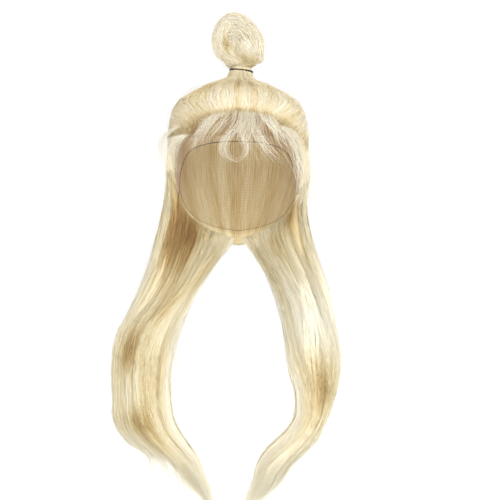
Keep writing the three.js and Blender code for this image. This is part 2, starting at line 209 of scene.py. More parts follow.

# Each side: outer edge, inner edge and thickness by rows, then locks, painted shade and highlights, the
# lock over them and strays
LEFT_SIDE = {
    "name": "left",
    "side": -1,
    "outer_azimuth": 98,
    "inner_azimuth": 176,
    "rows": (
        (-94, 18, -165, -26, 74, -202, 18),
        (-114, -8, -240, -57, 22, -250, 24),
        (-146, -26, -290, -76, -24, -296, 26),
        (-152, -40, -330, -82, -60, -334, 25),
        (-149, -54, -372, -82, -82, -372, 24),
        (-148, -62, -400, -76, -88, -400, 23),
        (-132, -68, -423, -62, -88, -422, 22),
        (-111, -70, -439, -47, -86, -443, 20),
        (-105, -70, -461, -37, -82, -465, 17),
        (-70, -68, -490, -28, -78, -490, 14),
        (-54, -66, -518, -22, -74, -518, 10),
    ),
    "locks": table(
        "place share end",
        (0.11, 0.28, 0.8),
        (0.31, 0.3, 0.81),
        (0.52, 0.3, 0.87),
        (0.71, 0.29, 1),
        (0.89, 0.26, 0.98),
    ),
    # Painted shade under the ear, along a groove and in the waves; painted highlight on the outer side and
    # the ends
    "painted_shading": table(
        "across along wide long tone",
        (0.27, 0.1, 0.2, 0.045, -1.4),
        (0.3, 0.03, 0.35, 0.05, -0.5),
        (0.84, 0.14, 0.1, 0.04, -0.25),
        (0.6, 0.21, 0.1, 0.035, -0.25),
        (0.45, 0.22, 0.3, 0.07, -0.22),
        (0.3, 0.335, 0.15, 0.055, -0.72),
        (0.75, 0.42, 0.2, 0.1, -0.36),
        (0.45, 0.54, 0.28, 0.05, -0.52),
        (0.05, 0.68, 0.25, 0.12, 0.3),
        (0.55, 0.63, 0.32, 0.07, -0.34),
        (0.15, 0.26, 0.2, 0.06, 0.12),
        (0.6, 0.95, 0.8, 0.13, 0.15),
    ),
    "over": {
        "count": 230,
        "spine": (
            (0.98, 0.03), (0.9, 0.12), (0.76, 0.2), (0.64, 0.28),
            (0.62, 0.36), (0.68, 0.5), (0.76, 0.7), (0.8, 0.95),
        ),
        "share": 0.42,
        "proud": 2,
    },
    "strays": {"count": 46, "leave": (0.16, 0.3), "end": (0.4, 0.6), "out": (1.0, 1.5)},
}
RIGHT_SIDE = {
    "name": "right",
    "side": 1,
    "outer_azimuth": 110,
    "inner_azimuth": 176,
    "rows": (
        (81, 18, -165, 26, 74, -202, 18),
        (111, -8, -240, 52, 22, -250, 24),
        (120, -26, -290, 57, -24, -296, 26),
        (124, -44, -330, 62, -60, -332, 25),
        (118, -54, -360, 72, -78, -360, 24),
        (107, -62, -390, 73, -86, -390, 23),
        (98, -68, -412, 60, -88, -412, 22),
        (83, -70, -432, 36, -88, -432, 21),
        (64, -70, -452, 22, -84, -452, 19),
        (54, -68, -472, 17, -80, -472, 16),
        (40, -66, -492, 5, -76, -492, 13),
        (24, -64, -520, -2, -72, -520, 9),
    ),
    "locks": table(
        "place share end",
        (0.11, 0.28, 0.88),
        (0.31, 0.3, 0.95),
        (0.52, 0.3, 1),
        (0.71, 0.29, 0.99),
        (0.89, 0.26, 0.93),
    ),
    # Painted shade by the ear and the neck and in the waves; painted highlight on a wave and the ends
    "painted_shading": table(
        "across along wide long tone",
        (0.12, 0.04, 0.15, 0.045, -0.45),
        (0.5, 0.09, 0.2, 0.04, -0.3),
        (0.1, 0.12, 0.16, 0.05, -0.2),
        (0.42, 0.23, 0.45, 0.09, 0.46),
        (0.45, 0.41, 0.32, 0.09, -0.5),
        (0.7, 0.5, 0.4, 0.1, -0.15),
        (0.5, 0.86, 0.8, 0.16, 0.12),
    ),
    "over": {
        "count": 150,
        "spine": (
            (0.2, 0.05), (0.3, 0.14), (0.45, 0.24), (0.6, 0.36),
            (0.66, 0.5), (0.6, 0.7), (0.55, 0.95),
        ),
        "share": 0.3,
        "proud": 0.7,
    },
    "strays": {"count": 40, "leave": (0.2, 0.34), "end": (0.45, 0.66), "out": (1.0, 1.55)},
}

# Short locks in front of the ears, and a puff of strands over the left ear
LEFT_TEMPLE = table(
    "azimuth height lift width thickness",
    (-52, -53, 3.2, 4, 2.4),
    (-58, -60, 8.5, 11, 4),
    (-63, -70, 11.5, 17, 5),
    (-65, -81, 11.5, 17, 5),
    (-63, -91, 9, 12, 4),
    (-59, -97, 6, 6, 3),
)
LEFT_PUFF = table(
    "azimuth height lift width thickness",
    (-64, -46, 11, 3, 3),
    (-75, -55, 18, 5, 6),
    (-80, -67, 22, 6, 8),
    (-79, -81, 19, 6, 8),
    (-73, -94, 12, 5, 6),
)
RIGHT_TEMPLE = table(
    "azimuth height lift width thickness",
    (44, -43, 3.1, 4, 3),
    (49, -56, 7, 9, 5),
    (53, -75, 9, 14, 7),
    (58, -95, 12, 19, 8),
    (62, -112, 12.5, 20, 8),
    (62, -124, 10, 14, 6),
    (60, -133, 8, 6, 3),
)
PUFF_STRANDS = 44
TEMPLE_RADIUS = 85
WISP_POINTS = 14

# Wisps that fall from the hairline over the lace front
FRINGE = table(
    "count path spread lift",
    (48, ((-19, -25), (-31, -35), (-45, -54), (-56, -74)), (10, 12), 4),
    (30, ((-31, -30), (-40, -44), (-49, -61), (-53, -78)), (10, 11), 3),
    (28, ((-8, -25), (-16, -38), (-28, -54), (-36, -70)), (9, 12), 5),
    (44, ((6, -26), (-1, -42), (-13, -57), (-17, -71), (-9, -83), (4, -84)), (11, 4), 5),
    (36, ((9, -26), (6, -44), (6, -56), (10, -68), (6, -80), (-5, -83)), (11, 4), 6),
    (44, ((14, -25), (12, -42), (10, -61), (14, -78)), (11, 14), 6),
    (46, ((22, -25), (22, -42), (29, -61), (45, -80), (55, -90)), (11, 13), 6),
    (70, ((34, -28), (42, -40), (51, -54), (59, -71)), (9, 12), 5),
)

# Groups of random draws, in the order of their seeds
DRAW_GROUPS = (
    "crown",
    "crown_body",
    "left_length",
    "right_length",
    "left_back",
    "right_back",
    "back_body",
    "knot",
    "left_temple",
    "right_temple",
    "fringe",
    "crown_flyaways",
    "knot_coil",
    "knot_flyaways",
    "knot_fan",
    "knot_core",
    "left_puff",
)
SEED_STEP = 100

# Bodies under the strands: rows, columns or sides, and how near they come to the outside of the hair
CROWN_COLUMNS = 220
BACK_ROWS = 22
BACK_COLUMNS = 91
LOCK_ROWS = 44
LOCK_SIDES = 24
ROLL_ROWS = 26
LOBE_ROWS = 18
KNOT_SIDES = 28
BODY_DEPTH = 0.95
BACK_BODY_DEPTH = 0.86
LOCK_BODY_LENGTH = 0.92

# Tint runs from 0, the darkest strands, to 1, the palest
TINTS = {
    "crown": 0.53,
    "loose": 0.55,
    "over": 0.52,
    "stray": 0.92,
    "back": 0.62,
    "nape": 0.55,
    "knot": 0.82,
    "coil": 0.84,
    "flyaway": 0.9,
    "fringe": 0.97,
    "cord": 0.5,
    # Bodies are darker than the strands over them: painted shade in the gaps between strands
    "body": 0.42,
    "roll_body": 0.6,
}
HAIR_LOOKS = {
    "swept_hair": {"middle": "gold", "pale_ends": 0.0},
    "loose_hair": {"middle": "straw", "pale_ends": 0.2},
    "wisp_hair": {"middle": "straw", "pale_ends": 0.15},
}

# Shares of the full width of a strand: of the thinnest, of the widest, at the root and at the tip
WIDTHS = {
    "crown": (0.5, 1, 0.4, 0.8),
    "loose": (0.5, 1, 0.7, 0.18),
    "over": (0.5, 1, 0.6, 0.18),
    "stray": (0.26, 0.42, 0.8, 0.4),
    "back": (0.5, 1, 0.5, 0.3),
    "nape": (0.5, 0.9, 0.5, 0.3),
    "knot": (0.5, 1, 0.6, 0.5),
    "coil": (0.5, 0.95, 0.4, 0.4),
    "flyaway": (0.28, 0.44, 0.8, 0.4),
    "temple": (0.18, 0.34, 0.6, 0.3),
    "fringe": (0.2, 0.38, 0.8, 0.35),
}
STRAND_SIDES = 3
CORD_SIDES = 6

# The bake map sets the corners of a face a little apart, in so many columns
MAP_COLUMNS = 3
MAP_STEP = 0.004

# Inputs and result of a colour mix
MIX_INPUTS = (0, 6, 7)
MIX_RESULT = 2

# Stage, in metres and watts
FLOOR_RADIUS = 14
FLOOR_SIDES = 96
WHITE = (1, 1, 1, 1)
AIM = (0.0, 0.0, -0.2)
LIGHTS = table(
    "name where towards size power",
    ("key", (1.6, -1.7, 0.9), AIM, 1.0, 19.2),
    ("fill", (-1.6, -1.8, 0.4), AIM, 1.4, 6),
    ("back", (0.4, 1.8, 1.3), AIM, 1.0, 10),
    ("ends", (0.1, -1.3, -0.3), (0.02, -0.07, -0.5), 0.5, 3.7),
)


# Sizes and colours that a user would change


def count_of(name, description, default):
    return IntProperty(name=name, description=description, default=default)


def length_of(name, description, default):
    return FloatProperty(name=name, description=description, default=default, unit="LENGTH")


def colour_of(name, description, default):
    return FloatVectorProperty(
        name=name, description=description, default=default, subtype="COLOR"
    )


class WigHair(bpy.types.PropertyGroup):
    """Strands and colours of the hair"""

    strand_width: length_of("Strand Width", "Width of a strand at its thickest", 0.0008)
    crown_strands: count_of("Crown Strands", "Strands of the swept-up hair", 2000)
    loose_strands: count_of("Loose Strands", "Strands of the loose hair on each side", 1150)
    back_strands: count_of("Back Strands", "Strands on each side of the back", 680)
    knot_strands: count_of("Knot Strands", "Strands of the roll of the knot", 760)
    temple_strands: count_of("Temple Strands", "Strands of each temple lock", 136)
    seed: count_of("Seed", "Seed of every random draw", 7)
    shade: colour_of("Shade", "Colour of the darkest strands", (0.3, 0.15, 0.042))
    honey: colour_of("Honey", "Colour between shade and the middle strands", (0.58, 0.43, 0.19))
    straw: colour_of("Straw", "Colour of the middle loose strands", (0.785, 0.69, 0.45))
    gold: colour_of("Gold", "Colour of the middle swept-up strands", (0.795, 0.675, 0.42))
    cream: colour_of("Cream", "Colour of the palest strands", (0.95, 0.91, 0.77))


class WigLace(bpy.types.PropertyGroup):
    """Net and edge of the lace cap"""

    frequency: count_of("Cells", "Cells along an edge of the net's base triangles", 32)
    thread_width: length_of("Thread Width", "Width of a net thread", 0.0003)
    edge_width: length_of("Edge Width", "Width of the edge cord", 0.0009)
    thread: colour_of("Thread", "Colour of the net", (0.5, 0.36, 0.26))
    edge: colour_of("Edge", "Colour of the edge cord", (0.1, 0.06, 0.045))


class WigTie(bpy.types.PropertyGroup):
    """Elastic tie under the knot"""

    threads: count_of("Threads", "Threads laid round the tie", 9)
    turns: count_of("Turns", "Turns of each thread round the cord", 17)
    colour: colour_of("Colour", "Colour of the elastic", (0.018, 0.013, 0.011))


class WigStage(bpy.types.PropertyGroup):
    """Floor, light and camera"""

    camera: FloatVectorProperty(
        name="Camera",
        description="Place of the camera, which looks along +Y",
        subtype="TRANSLATION",
        unit="LENGTH",
        default=(0.015, -2.2, -0.191),
    )
    view_width: length_of("View Width", "Width of the view at the head", 0.625)
    floor_gap: length_of("Floor Gap", "Floor below the ends", 0.04)
    floor: colour_of("Floor", "Colour of the floor", (0.97, 0.97, 0.97))


# Tables as curves, and the head form


def spline(knots, values, at):
    """A smooth curve through values at knots, read at places that are kept between its ends."""
    knots = np.asarray(knots, float)
    values = np.asarray(values, float)
    at = np.clip(at, knots[0], knots[-1])
    wide = (slice(None),) + (None,) * (values.ndim - 1)
    gaps = np.diff(knots)
    steps = np.diff(values, axis=0) / gaps[wide]
    slopes = np.empty_like(values)
    slopes[1:-1] = (values[2:] - values[:-2]) / (knots[2:] - knots[:-2])[wide]
    slopes[0] = 1.5 * steps[0] - 0.5 * slopes[1]
    slopes[-1] = 1.5 * steps[-1] - 0.5 * slopes[-2]
    low = np.clip(np.searchsorted(knots, at, side="right") - 1, 0, len(knots) - 2)
    gap = gaps[low]
    t = (at - knots[low]) / gap
    if values.ndim > 1:
        t = t[..., None]
        gap = gap[..., None]
    return (
        values[low] * (1 + 2 * t) * (1 - t) ** 2
        + slopes[low] * gap * t * (1 - t) ** 2
        + values[low + 1] * t**2 * (3 - 2 * t)
        + slopes[low + 1] * gap * t**2 * (t - 1)
    )


def column(rows, key, name):
    """A column of a table as a function of its key column."""
    knots = [row[key] for row in rows]
    values = [row[name] for row in rows]
    return lambda at: spline(knots, values, at)


def track(rows, name):
    """A column of a table as a function of the way along the table, from 0 to 1."""
    knots = np.linspace(0, 1, len(rows))
    values = [row[name] for row in rows]
    return lambda at: spline(knots, values, at)


def smooth(low, high, value):
    """A soft step from 0 at low to 1 at high, where low may be the greater."""
    t = np.clip((value - low) / (high - low), 0, 1)
    return t * t * (3 - 2 * t)


def mix(a, b, share):
    """The value a share of the way from a to b."""
    return a + (b - a) * share


def fold(azimuth):
    """Azimuth from the forehead on either side."""
    return np.abs((np.asarray(azimuth) + 180) % 360 - 180)


def head_point(azimuth, polar, lift):
    """Points at a lift above the head form, in millimetres."""
    turn, fall = np.radians(azimuth), np.radians(polar)
    way = np.stack(
        np.broadcast_arrays(
            np.sin(fall) * np.sin(turn), -np.sin(fall) * np.cos(turn), np.cos(fall)
        ),
        axis=-1,
    )
    half_height = np.where(way[..., 2] > 0, HEAD_TOP, HEAD_DROP)
    total = (
        np.abs(way[..., 0] / HEAD_HALF_WIDTH) ** HEAD_FULLNESS
        + np.abs(way[..., 1] / HEAD_HALF_LENGTH) ** HEAD_FULLNESS
        + np.abs(way[..., 2] / half_height) ** HEAD_FULLNESS
    )
    radius = total ** (-1 / HEAD_FULLNESS) + lift
    return way * radius[..., None] + np.array([0, 0, -HEAD_TOP])


def polar_at_height(azimuth, height):
    """The polar angle at which the head form comes down to a height."""
    azimuth, height = np.broadcast_arrays(np.asarray(azimuth, float), height)
    above, below = np.zeros(azimuth.shape), np.full(azimuth.shape, 170.0)
    for _ in range(32):
        middle = (above + below) / 2
        higher = head_point(azimuth, middle, 0.0)[..., 2] > height
        above = np.where(higher, middle, above)
        below = np.where(higher, below, middle)
    return (above + below) / 2


def edge_polar(rows):
    """The polar angle of an edge at any azimuth, from a table of its heights."""
    azimuths = np.arange(0, 180.5, 0.5)
    polars = polar_at_height(azimuths, column(rows, "azimuth", "height")(azimuths))
    return lambda azimuth: np.interp(fold(azimuth), azimuths, polars)


cap_polar = edge_polar(CAP_EDGE)
hairline_polar = edge_polar(HAIRLINE)
nape_polar = edge_polar(NAPE_EDGE)
hairline_lift = column(HAIRLINE, "azimuth", "lift")
nape_lift = column(NAPE_EDGE, "azimuth", "lift")


# Meshes, strands and materials


def add_values(mesh, name, values):
    layer = mesh.attributes.new(name, "FLOAT", "POINT")
    layer.data.foreach_set("value", np.asarray(values, np.float32).ravel())


def strand_mesh(name, paths, radius, tint, along):
    """Strands as lines: paths is strands by points by 3 in millimetres, the rest strands by points."""
    strands, points, _ = paths.shape
    first = (np.arange(strands)[:, None] * points + np.arange(points - 1)).ravel()
    mesh = bpy.data.meshes.new(name)
    mesh.vertices.add(strands * points)
    mesh.vertices.foreach_set("co", (paths * MM).astype(np.float32).ravel())
    mesh.edges.add(len(first))
    mesh.edges.foreach_set("vertices", np.stack([first, first + 1], 1).astype(np.int32).ravel())
    shape = (strands, points)
    add_values(mesh, "strand_radius", np.broadcast_to(radius, shape) * MM)
    add_values(mesh, "tint", np.clip(np.broadcast_to(tint, shape), 0, 1))
    add_values(mesh, "along", np.clip(np.broadcast_to(along, shape), 0, 1))
    mesh.update()
    return mesh


def grid_mesh(name, points, tint, along, caps=True):
    """A body from closed rows of points in millimetres; caps close its first and last row."""
    rows, sides, _ = points.shape
    verts = [tuple(p) for p in (points * MM).reshape(-1, 3)]
    faces = []
    for row in range(rows - 1):
        for side in range(sides):
            a = row * sides + side
            b = row * sides + (side + 1) % sides
            faces.append((a, b, b + sides, a + sides))
    if caps:
        faces.append(tuple(range(sides))[::-1])
        faces.append(tuple(range((rows - 1) * sides, rows * sides)))
    mesh = bpy.data.meshes.new(name)
    mesh.from_pydata(verts, [], faces)
    add_values(mesh, "tint", np.clip(np.broadcast_to(tint, (rows, sides)), 0, 1))
    add_values(mesh, "along", np.clip(np.broadcast_to(along, (rows, sides)), 0, 1))
    turns = np.linalg.norm(np.diff(points, axis=1, append=points[:, :1]), axis=-1).max(0)
    runs = np.linalg.norm(np.diff(points, axis=0), axis=-1).mean(1)
    across = np.concatenate([[0], np.cumsum(turns)[:-1]])
    down = np.concatenate([[0], np.cumsum(runs)])
    flow = np.stack([*np.meshgrid(across, down), np.full((rows, sides), 1.0)], -1)
    layer = mesh.attributes.new("flow", "FLOAT_VECTOR", "POINT")
    layer.data.foreach_set("vector", flow.astype(np.float32).ravel())
    mesh.polygons.foreach_set("use_smooth", [True] * len(mesh.polygons))
    mesh.update()
    return mesh


def place(name, data):
    """An object at the origin that shows a mesh, a light or a camera."""
    thing = bpy.data.objects.new(name, data)
    bpy.context.scene.collection.objects.link(thing)
    return thing


def joined(name, meshes):
    """Meshes with the same attributes as one object."""
    pieces = [place(f"{name}_{at}", mesh) for at, mesh in enumerate(meshes)]
    if len(pieces) == 1:
        return pieces[0]
    with bpy.context.temp_override(
        active_object=pieces[0], selected_objects=pieces, selected_editable_objects=pieces
    ):
        bpy.ops.object.join()
    pieces[0].name = name
    return pieces[0]


def new_tree(name, sockets):
    """A node tree for a modifier, with named inputs after its geometry, and the nodes at its ends."""
    tree = bpy.data.node_groups.new(name, "GeometryNodeTree")
    tree.is_modifier = True
    tree.interface.new_socket("Geometry", in_out="INPUT", socket_type="NodeSocketGeometry")
    tree.interface.new_socket("Geometry", in_out="OUTPUT", socket_type="NodeSocketGeometry")
    for label, kind in sockets.items():
        tree.interface.new_socket(label, in_out="INPUT", socket_type=kind)
    return tree, tree.nodes.new("NodeGroupInput"), tree.nodes.new("NodeGroupOutput")


def feed(tree, node, values):
    """Sets inputs of a node to values, or links them from other nodes' sockets."""
    for label, value in values.items():
        if isinstance(value, bpy.types.NodeSocket):
            tree.links.new(value, node.inputs[label])
        else:
            node.inputs[label].default_value = value


def add_node(tree, kind, settings=None, **inputs):
    """A node with its settings and inputs, where _ in the name of an input stands for a space."""
    node = tree.nodes.new(kind)
    for name, value in (settings or {}).items():
        setattr(node, name, value)
    feed(tree, node, {label.replace("_", " "): value for label, value in inputs.items()})
    return node


def math_node(tree, operation, *values):
    """The result of a sum on sockets or numbers."""
    node = add_node(tree, "ShaderNodeMath", {"operation": operation})
    feed(tree, node, dict(enumerate(values)))
    return node.outputs[0]


def colour_mix(tree, share, first, second, blend="MIX"):
    """The result of a mix of two colours."""
    node = add_node(tree, "ShaderNodeMix", {"data_type": "RGBA", "blend_type": blend})
    feed(tree, node, dict(zip(MIX_INPUTS, (share, first, second))))
    return node.outputs[MIX_RESULT]


def attribute_of(tree, name):
    """A named number that the geometry carries."""
    return add_node(
        tree, "GeometryNodeInputNamedAttribute", {"data_type": "FLOAT"}, Name=name
    ).outputs["Attribute"]


def add_tubes(tree, lines, sides, radius, **inputs):
    """Closed tubes along the edges of a mesh."""
    curve = add_node(tree, "GeometryNodeMeshToCurve", Mesh=lines)
    ring = add_node(tree, "GeometryNodeCurvePrimitiveCircle", Resolution=sides, Radius=radius)
    tubes = add_node(
        tree,
        "GeometryNodeCurveToMesh",
        Curve=curve.outputs["Curve"],
        Profile_Curve=ring.outputs["Curve"],
        Fill_Caps=True,
        **inputs,
    )
    return tubes.outputs["Mesh"]


def end_tree(tree, start, end, geometry):
    """Ends a tree with real geometry in the material of its input."""
    whole = add_node(tree, "GeometryNodeRealizeInstances", Geometry=geometry)
    done = add_node(
        tree,
        "GeometryNodeSetMaterial",
        Geometry=whole.outputs["Geometry"],
        Material=start.outputs["Material"],
    )
    tree.links.new(done.outputs["Geometry"], end.inputs["Geometry"])
    return tree


def strand_tree():
    """Lines become tapered closed strands, joined to a body, with a bake map by tint and length."""
    tree, start, end = new_tree(
        "Wig Strands",
        {"Body": "NodeSocketObject", "Sides": "NodeSocketInt", "Material": "NodeSocketMaterial"},
    )
    tubes = add_tubes(
        tree,
        start.outputs["Geometry"],
        start.outputs["Sides"],
        1.0,
        Scale=attribute_of(tree, "strand_radius"),
    )
    rounded = add_node(tree, "GeometryNodeSetShadeSmooth", Geometry=tubes)
    body = add_node(tree, "GeometryNodeObjectInfo", Object=start.outputs["Body"])
    both = add_node(tree, "GeometryNodeJoinGeometry")
    tree.links.new(body.outputs["Geometry"], both.inputs["Geometry"])
    tree.links.new(rounded.outputs["Geometry"], both.inputs["Geometry"])
    number = add_node(tree, "GeometryNodeInputIndex")
    spread = math_node(tree, "MODULO", number.outputs["Index"], MAP_COLUMNS)
    beside = math_node(tree, "MULTIPLY_ADD", spread, MAP_STEP, attribute_of(tree, "tint"))
    spot = add_node(tree, "ShaderNodeCombineXYZ", X=beside, Y=attribute_of(tree, "along"))
    mapped = add_node(
        tree,
        "GeometryNodeStoreNamedAttribute",
        {"data_type": "FLOAT2", "domain": "CORNER"},
        Geometry=both.outputs["Geometry"],
        Name="OFBake",
        Value=spot.outputs["Vector"],
    )
    return end_tree(tree, start, end, mapped.outputs["Geometry"])


def net_tree():
    """The cells round a triangle mesh's corners become a net of threads."""
    tree, start, end = new_tree(
        "Wig Net",
        {"Thread": "NodeSocketFloat", "Sides": "NodeSocketInt", "Material": "NodeSocketMaterial"},
    )
    cells = add_node(
        tree, "GeometryNodeDualMesh", Mesh=start.outputs["Geometry"], Keep_Boundaries=True
    )
    tubes = add_tubes(
        tree, cells.outputs["Dual Mesh"], start.outputs["Sides"], start.outputs["Thread"]
    )
    return end_tree(tree, start, end, tubes)


def tree_named(name, make):
    return bpy.data.node_groups.get(name) or make()


def grow(name, mesh, tree, **values):
    """What a tree makes of a mesh, as a plain mesh on an object at the origin."""
    source = place(f"{name}_source", mesh)
    modifier = source.modifiers.new(tree.name, "NODES")
    modifier.node_group = tree
    sockets = {s.name: s.identifier for s in tree.interface.items_tree if s.in_out == "INPUT"}
    for label, value in values.items():
        modifier[sockets[label]] = value
    graph = bpy.context.evaluated_depsgraph_get()
    made = bpy.data.meshes.new_from_object(source.evaluated_get(graph), depsgraph=graph)
    source.modifiers.remove(modifier)
    bpy.data.objects.remove(source)
    extra = made.attributes.get("strand_radius")
    if extra:
        made.attributes.remove(extra)
    made.name = name
    return place(name, made)


def grow_strands(name, strands, material, sides, body=None):
    """What the strand tree makes of strand values, with a body where there is one."""
    return grow(
        name,
        strand_mesh(name, *strands),
        tree_named("Wig Strands", strand_tree),
        Body=body,
        Sides=sides,
        Material=material,
    )


def hair_piece(name, strands, bodies, look, nodes=()):
    """A piece of hair from strand values and body meshes, riding on the wig."""
    body = joined(f"{name}_body", bodies) if bodies else None
    piece = grow_strands(name, strands, hair_material(look), STRAND_SIDES, body)
    if body:
        bpy.data.objects.remove(body)
    finish_piece(piece, nodes)


def finish_piece(piece, nodes):
    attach(piece, "root")
    if nodes:
        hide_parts(*nodes)


def strand_tone_group():
    """Colour, roughness and height of hair by tint, and on bodies also by streaks along their flow."""
    name = "Strand Tone"
    if name in bpy.data.node_groups:
        return bpy.data.node_groups[name]
    tree = bpy.data.node_groups.new(name, "ShaderNodeTree")
    for way, kind, labels in (
        ("INPUT", "NodeSocketColor", ("Shade", "Honey", "Straw", "Cream")),
        ("INPUT", "NodeSocketFloat", ("Pale Ends", "Streak")),
        ("OUTPUT", "NodeSocketColor", ("Colour",)),
        ("OUTPUT", "NodeSocketFloat", ("Roughness", "Height")),
    ):
        for label in labels:
            tree.interface.new_socket(label, in_out=way, socket_type=kind)
    start = tree.nodes.new("NodeGroupInput")
    end = tree.nodes.new("NodeGroupOutput")
    tint = add_node(tree, "ShaderNodeAttribute", {"attribute_name": "tint"}).outputs["Fac"]
    along = add_node(tree, "ShaderNodeAttribute", {"attribute_name": "along"}).outputs["Fac"]
    flow = add_node(tree, "ShaderNodeAttribute", {"attribute_name": "flow"}).outputs["Vector"]
    fine = add_node(tree, "ShaderNodeMapping", Vector=flow, Scale=(1.1, 0.03, 0.0))
    grain = add_node(tree, "ShaderNodeTexNoise", Vector=fine.outputs[0], Scale=1.0, Detail=2.0)
    body = add_node(tree, "ShaderNodeSeparateXYZ", Vector=flow).outputs["Z"]
    swing = math_node(tree, "SUBTRACT", grain.outputs["Fac"], 0.5)
    streak = math_node(tree, "MULTIPLY", swing, body)
    depth = math_node(tree, "MULTIPLY", streak, start.outputs["Streak"])
    tips = math_node(tree, "MULTIPLY", along, start.outputs["Pale Ends"])
    lifted = math_node(tree, "ADD", tint, tips)
    tone = math_node(tree, "ADD", lifted, depth)
    colour = start.outputs["Shade"]
    for label, low, high in (("Honey", 0.0, 0.2), ("Straw", 0.2, 0.5), ("Cream", 0.5, 1.0)):
        share = add_node(tree, "ShaderNodeMapRange", Value=tone, From_Min=low, From_Max=high)
        colour = colour_mix(tree, share.outputs["Result"], colour, start.outputs[label])
    gloss = add_node(
        tree, "ShaderNodeMapRange", Value=tone, From_Min=0.0, From_Max=1.0, To_Min=0.5, To_Max=0.36
    )
    results = {"Colour": colour, "Roughness": gloss.outputs["Result"], "Height": streak}
    feed(tree, end, results)
    return tree


def new_material(name):
    material = bpy.data.materials.new(name)
    material.use_nodes = True
    return material, material.node_tree, material.node_tree.nodes["Principled BSDF"]


def hair_material(name):
    if name in bpy.data.materials:
        return bpy.data.materials[name]
    hair = bpy.context.scene.wig_hair
    look = HAIR_LOOKS[name]
    material, tree, shader = new_material(name)
    tone = tree.nodes.new("ShaderNodeGroup")
    tone.node_tree = strand_tone_group()
    colours = {"Shade": "shade", "Honey": "honey", "Straw": look["middle"], "Cream": "cream"}
    feed(tree, tone, {label: (*getattr(hair, colour), 1) for label, colour in colours.items()})
    feed(tree, tone, {"Pale Ends": look["pale_ends"], "Streak": 0.9})
    bump = add_node(
        tree, "ShaderNodeBump", Height=tone.outputs["Height"], Strength=0.5, Distance=0.0006
    )
    values = {
        "Base Color": tone.outputs["Colour"],
        "Roughness": tone.outputs["Roughness"],
        "Normal": bump.outputs["Normal"],
        "Specular IOR Level": 0.4,
    }
    feed(tree, shader, values)
    return material


def thread_material(name, colour, scale):
    """Spun thread: mottled colour, and fibres as roughness and bump on Object coordinates."""
    if name in bpy.data.materials:
        return bpy.data.materials[name]
    material, tree, shader = new_material(name)
    where = tree.nodes.new("ShaderNodeTexCoord").outputs["Object"]
    fibre = add_node(tree, "ShaderNodeTexNoise", Vector=where, Scale=scale, Detail=3.0).outputs["Fac"]
    tone = add_node(
        tree, "ShaderNodeMapRange", Value=fibre, From_Min=0.3, From_Max=0.7, To_Min=0.7, To_Max=1.25
    )
    rough = add_node(tree, "ShaderNodeMapRange", Value=fibre, To_Min=0.65, To_Max=0.95)
    bump = add_node(tree, "ShaderNodeBump", Height=fibre, Strength=0.3, Distance=0.0001)
    values = {
        "Base Color": colour_mix(tree, 1.0, (*colour, 1), tone.outputs["Result"], "MULTIPLY"),
        "Roughness": rough.outputs["Result"],
        "Normal": bump.outputs["Normal"],
        "Specular IOR Level": 0.2,
    }
    feed(tree, shader, values)
    return material


# Surfaces that the hair follows


def crown_lift(azimuth, along):
    full = mix(CROWN_TOP_LIFT, CROWN_LIFT, smooth(0, 0.5, along))
    roll = smooth(CROWN_ROLL, 1, along) ** 1.6
    return mix(full, hairline_lift(fold(azimuth)), roll)


def swept(azimuth, way):
    """Azimuth of a swept-up strand: it leaves the hairline towards the back before it climbs."""
    side = np.sign((np.asarray(azimuth) + 180) % 360 - 180)
    front = fold(azimuth)
    back = CROWN_SWEEP * smooth(0, 65, front) * smooth(180, 85, front)
    return azimuth + side * back * smooth(-0.1, 0.32, way)


def crown_surface(root_azimuth, way, depth, leave=CROWN_LEAVE):
    """Points of the swept-up hair: way is 0 at the hairline and 1 at the tie, depth 1 on the outside.

    Hair leaves the lace at the way given by leave.
    """
    azimuth = swept(root_azimuth, way)
    edge = mix(hairline_polar(root_azimuth), hairline_polar(azimuth), smooth(0, 0.5, way))
    polar = mix(edge, GATHER_POLAR, np.minimum(way / GATHER_SHARE, 1))
    lift = crown_lift(azimuth, np.minimum(polar / edge, 1))
    beside = smooth(35, 75, fold(azimuth)) * smooth(160, 110, fold(azimuth))
    lift = lift + SIDE_FULLNESS * beside * smooth(0.04, 0.24, way) * smooth(0.56, 0.34, way)
    rim = hairline_lift(fold(root_azimuth))
    root = mix(STRAND_LIFT, rim * 0.8, smooth(42, 72, fold(root_azimuth)))
    lift = mix(root, lift * depth, smooth(leave, 0.065, way))
    dome = head_point(azimuth, polar, lift)
    middle = np.array([TIE["x"], TIE["y"], 0])
    spoke = dome - middle
    spoke[..., 2] = 0
    reach = np.linalg.norm(spoke, axis=-1, keepdims=True)
    spoke = spoke / reach
    neck = middle + spoke * TIE["neck"] * np.clip(depth, 0, 1.04)[..., None]
    rise = np.clip((way - GATHER_SHARE) / (1 - GATHER_SHARE), 0, 1)[..., None]
    top = neck + np.array([0, 0, KNOT_BASE + 1.5])
    first = dome - spoke * reach * 0.35 + np.array([0, 0, 3.5])
    second = neck + np.array([0, 0, TIE["z"] - 8])
    bend = (
        dome * (1 - rise) ** 3
        + 3 * first * rise * (1 - rise) ** 2
        + 3 * second * rise**2 * (1 - rise)
        + top * rise**3
    )
    return np.where(rise > 0, bend, dome)


def back_lift(azimuth, down):
    low = nape_lift(fold(azimuth))
    high = np.minimum(BACK_TOP_LIFT, low)
    return mix(high, low, smooth(0, 0.8, down))


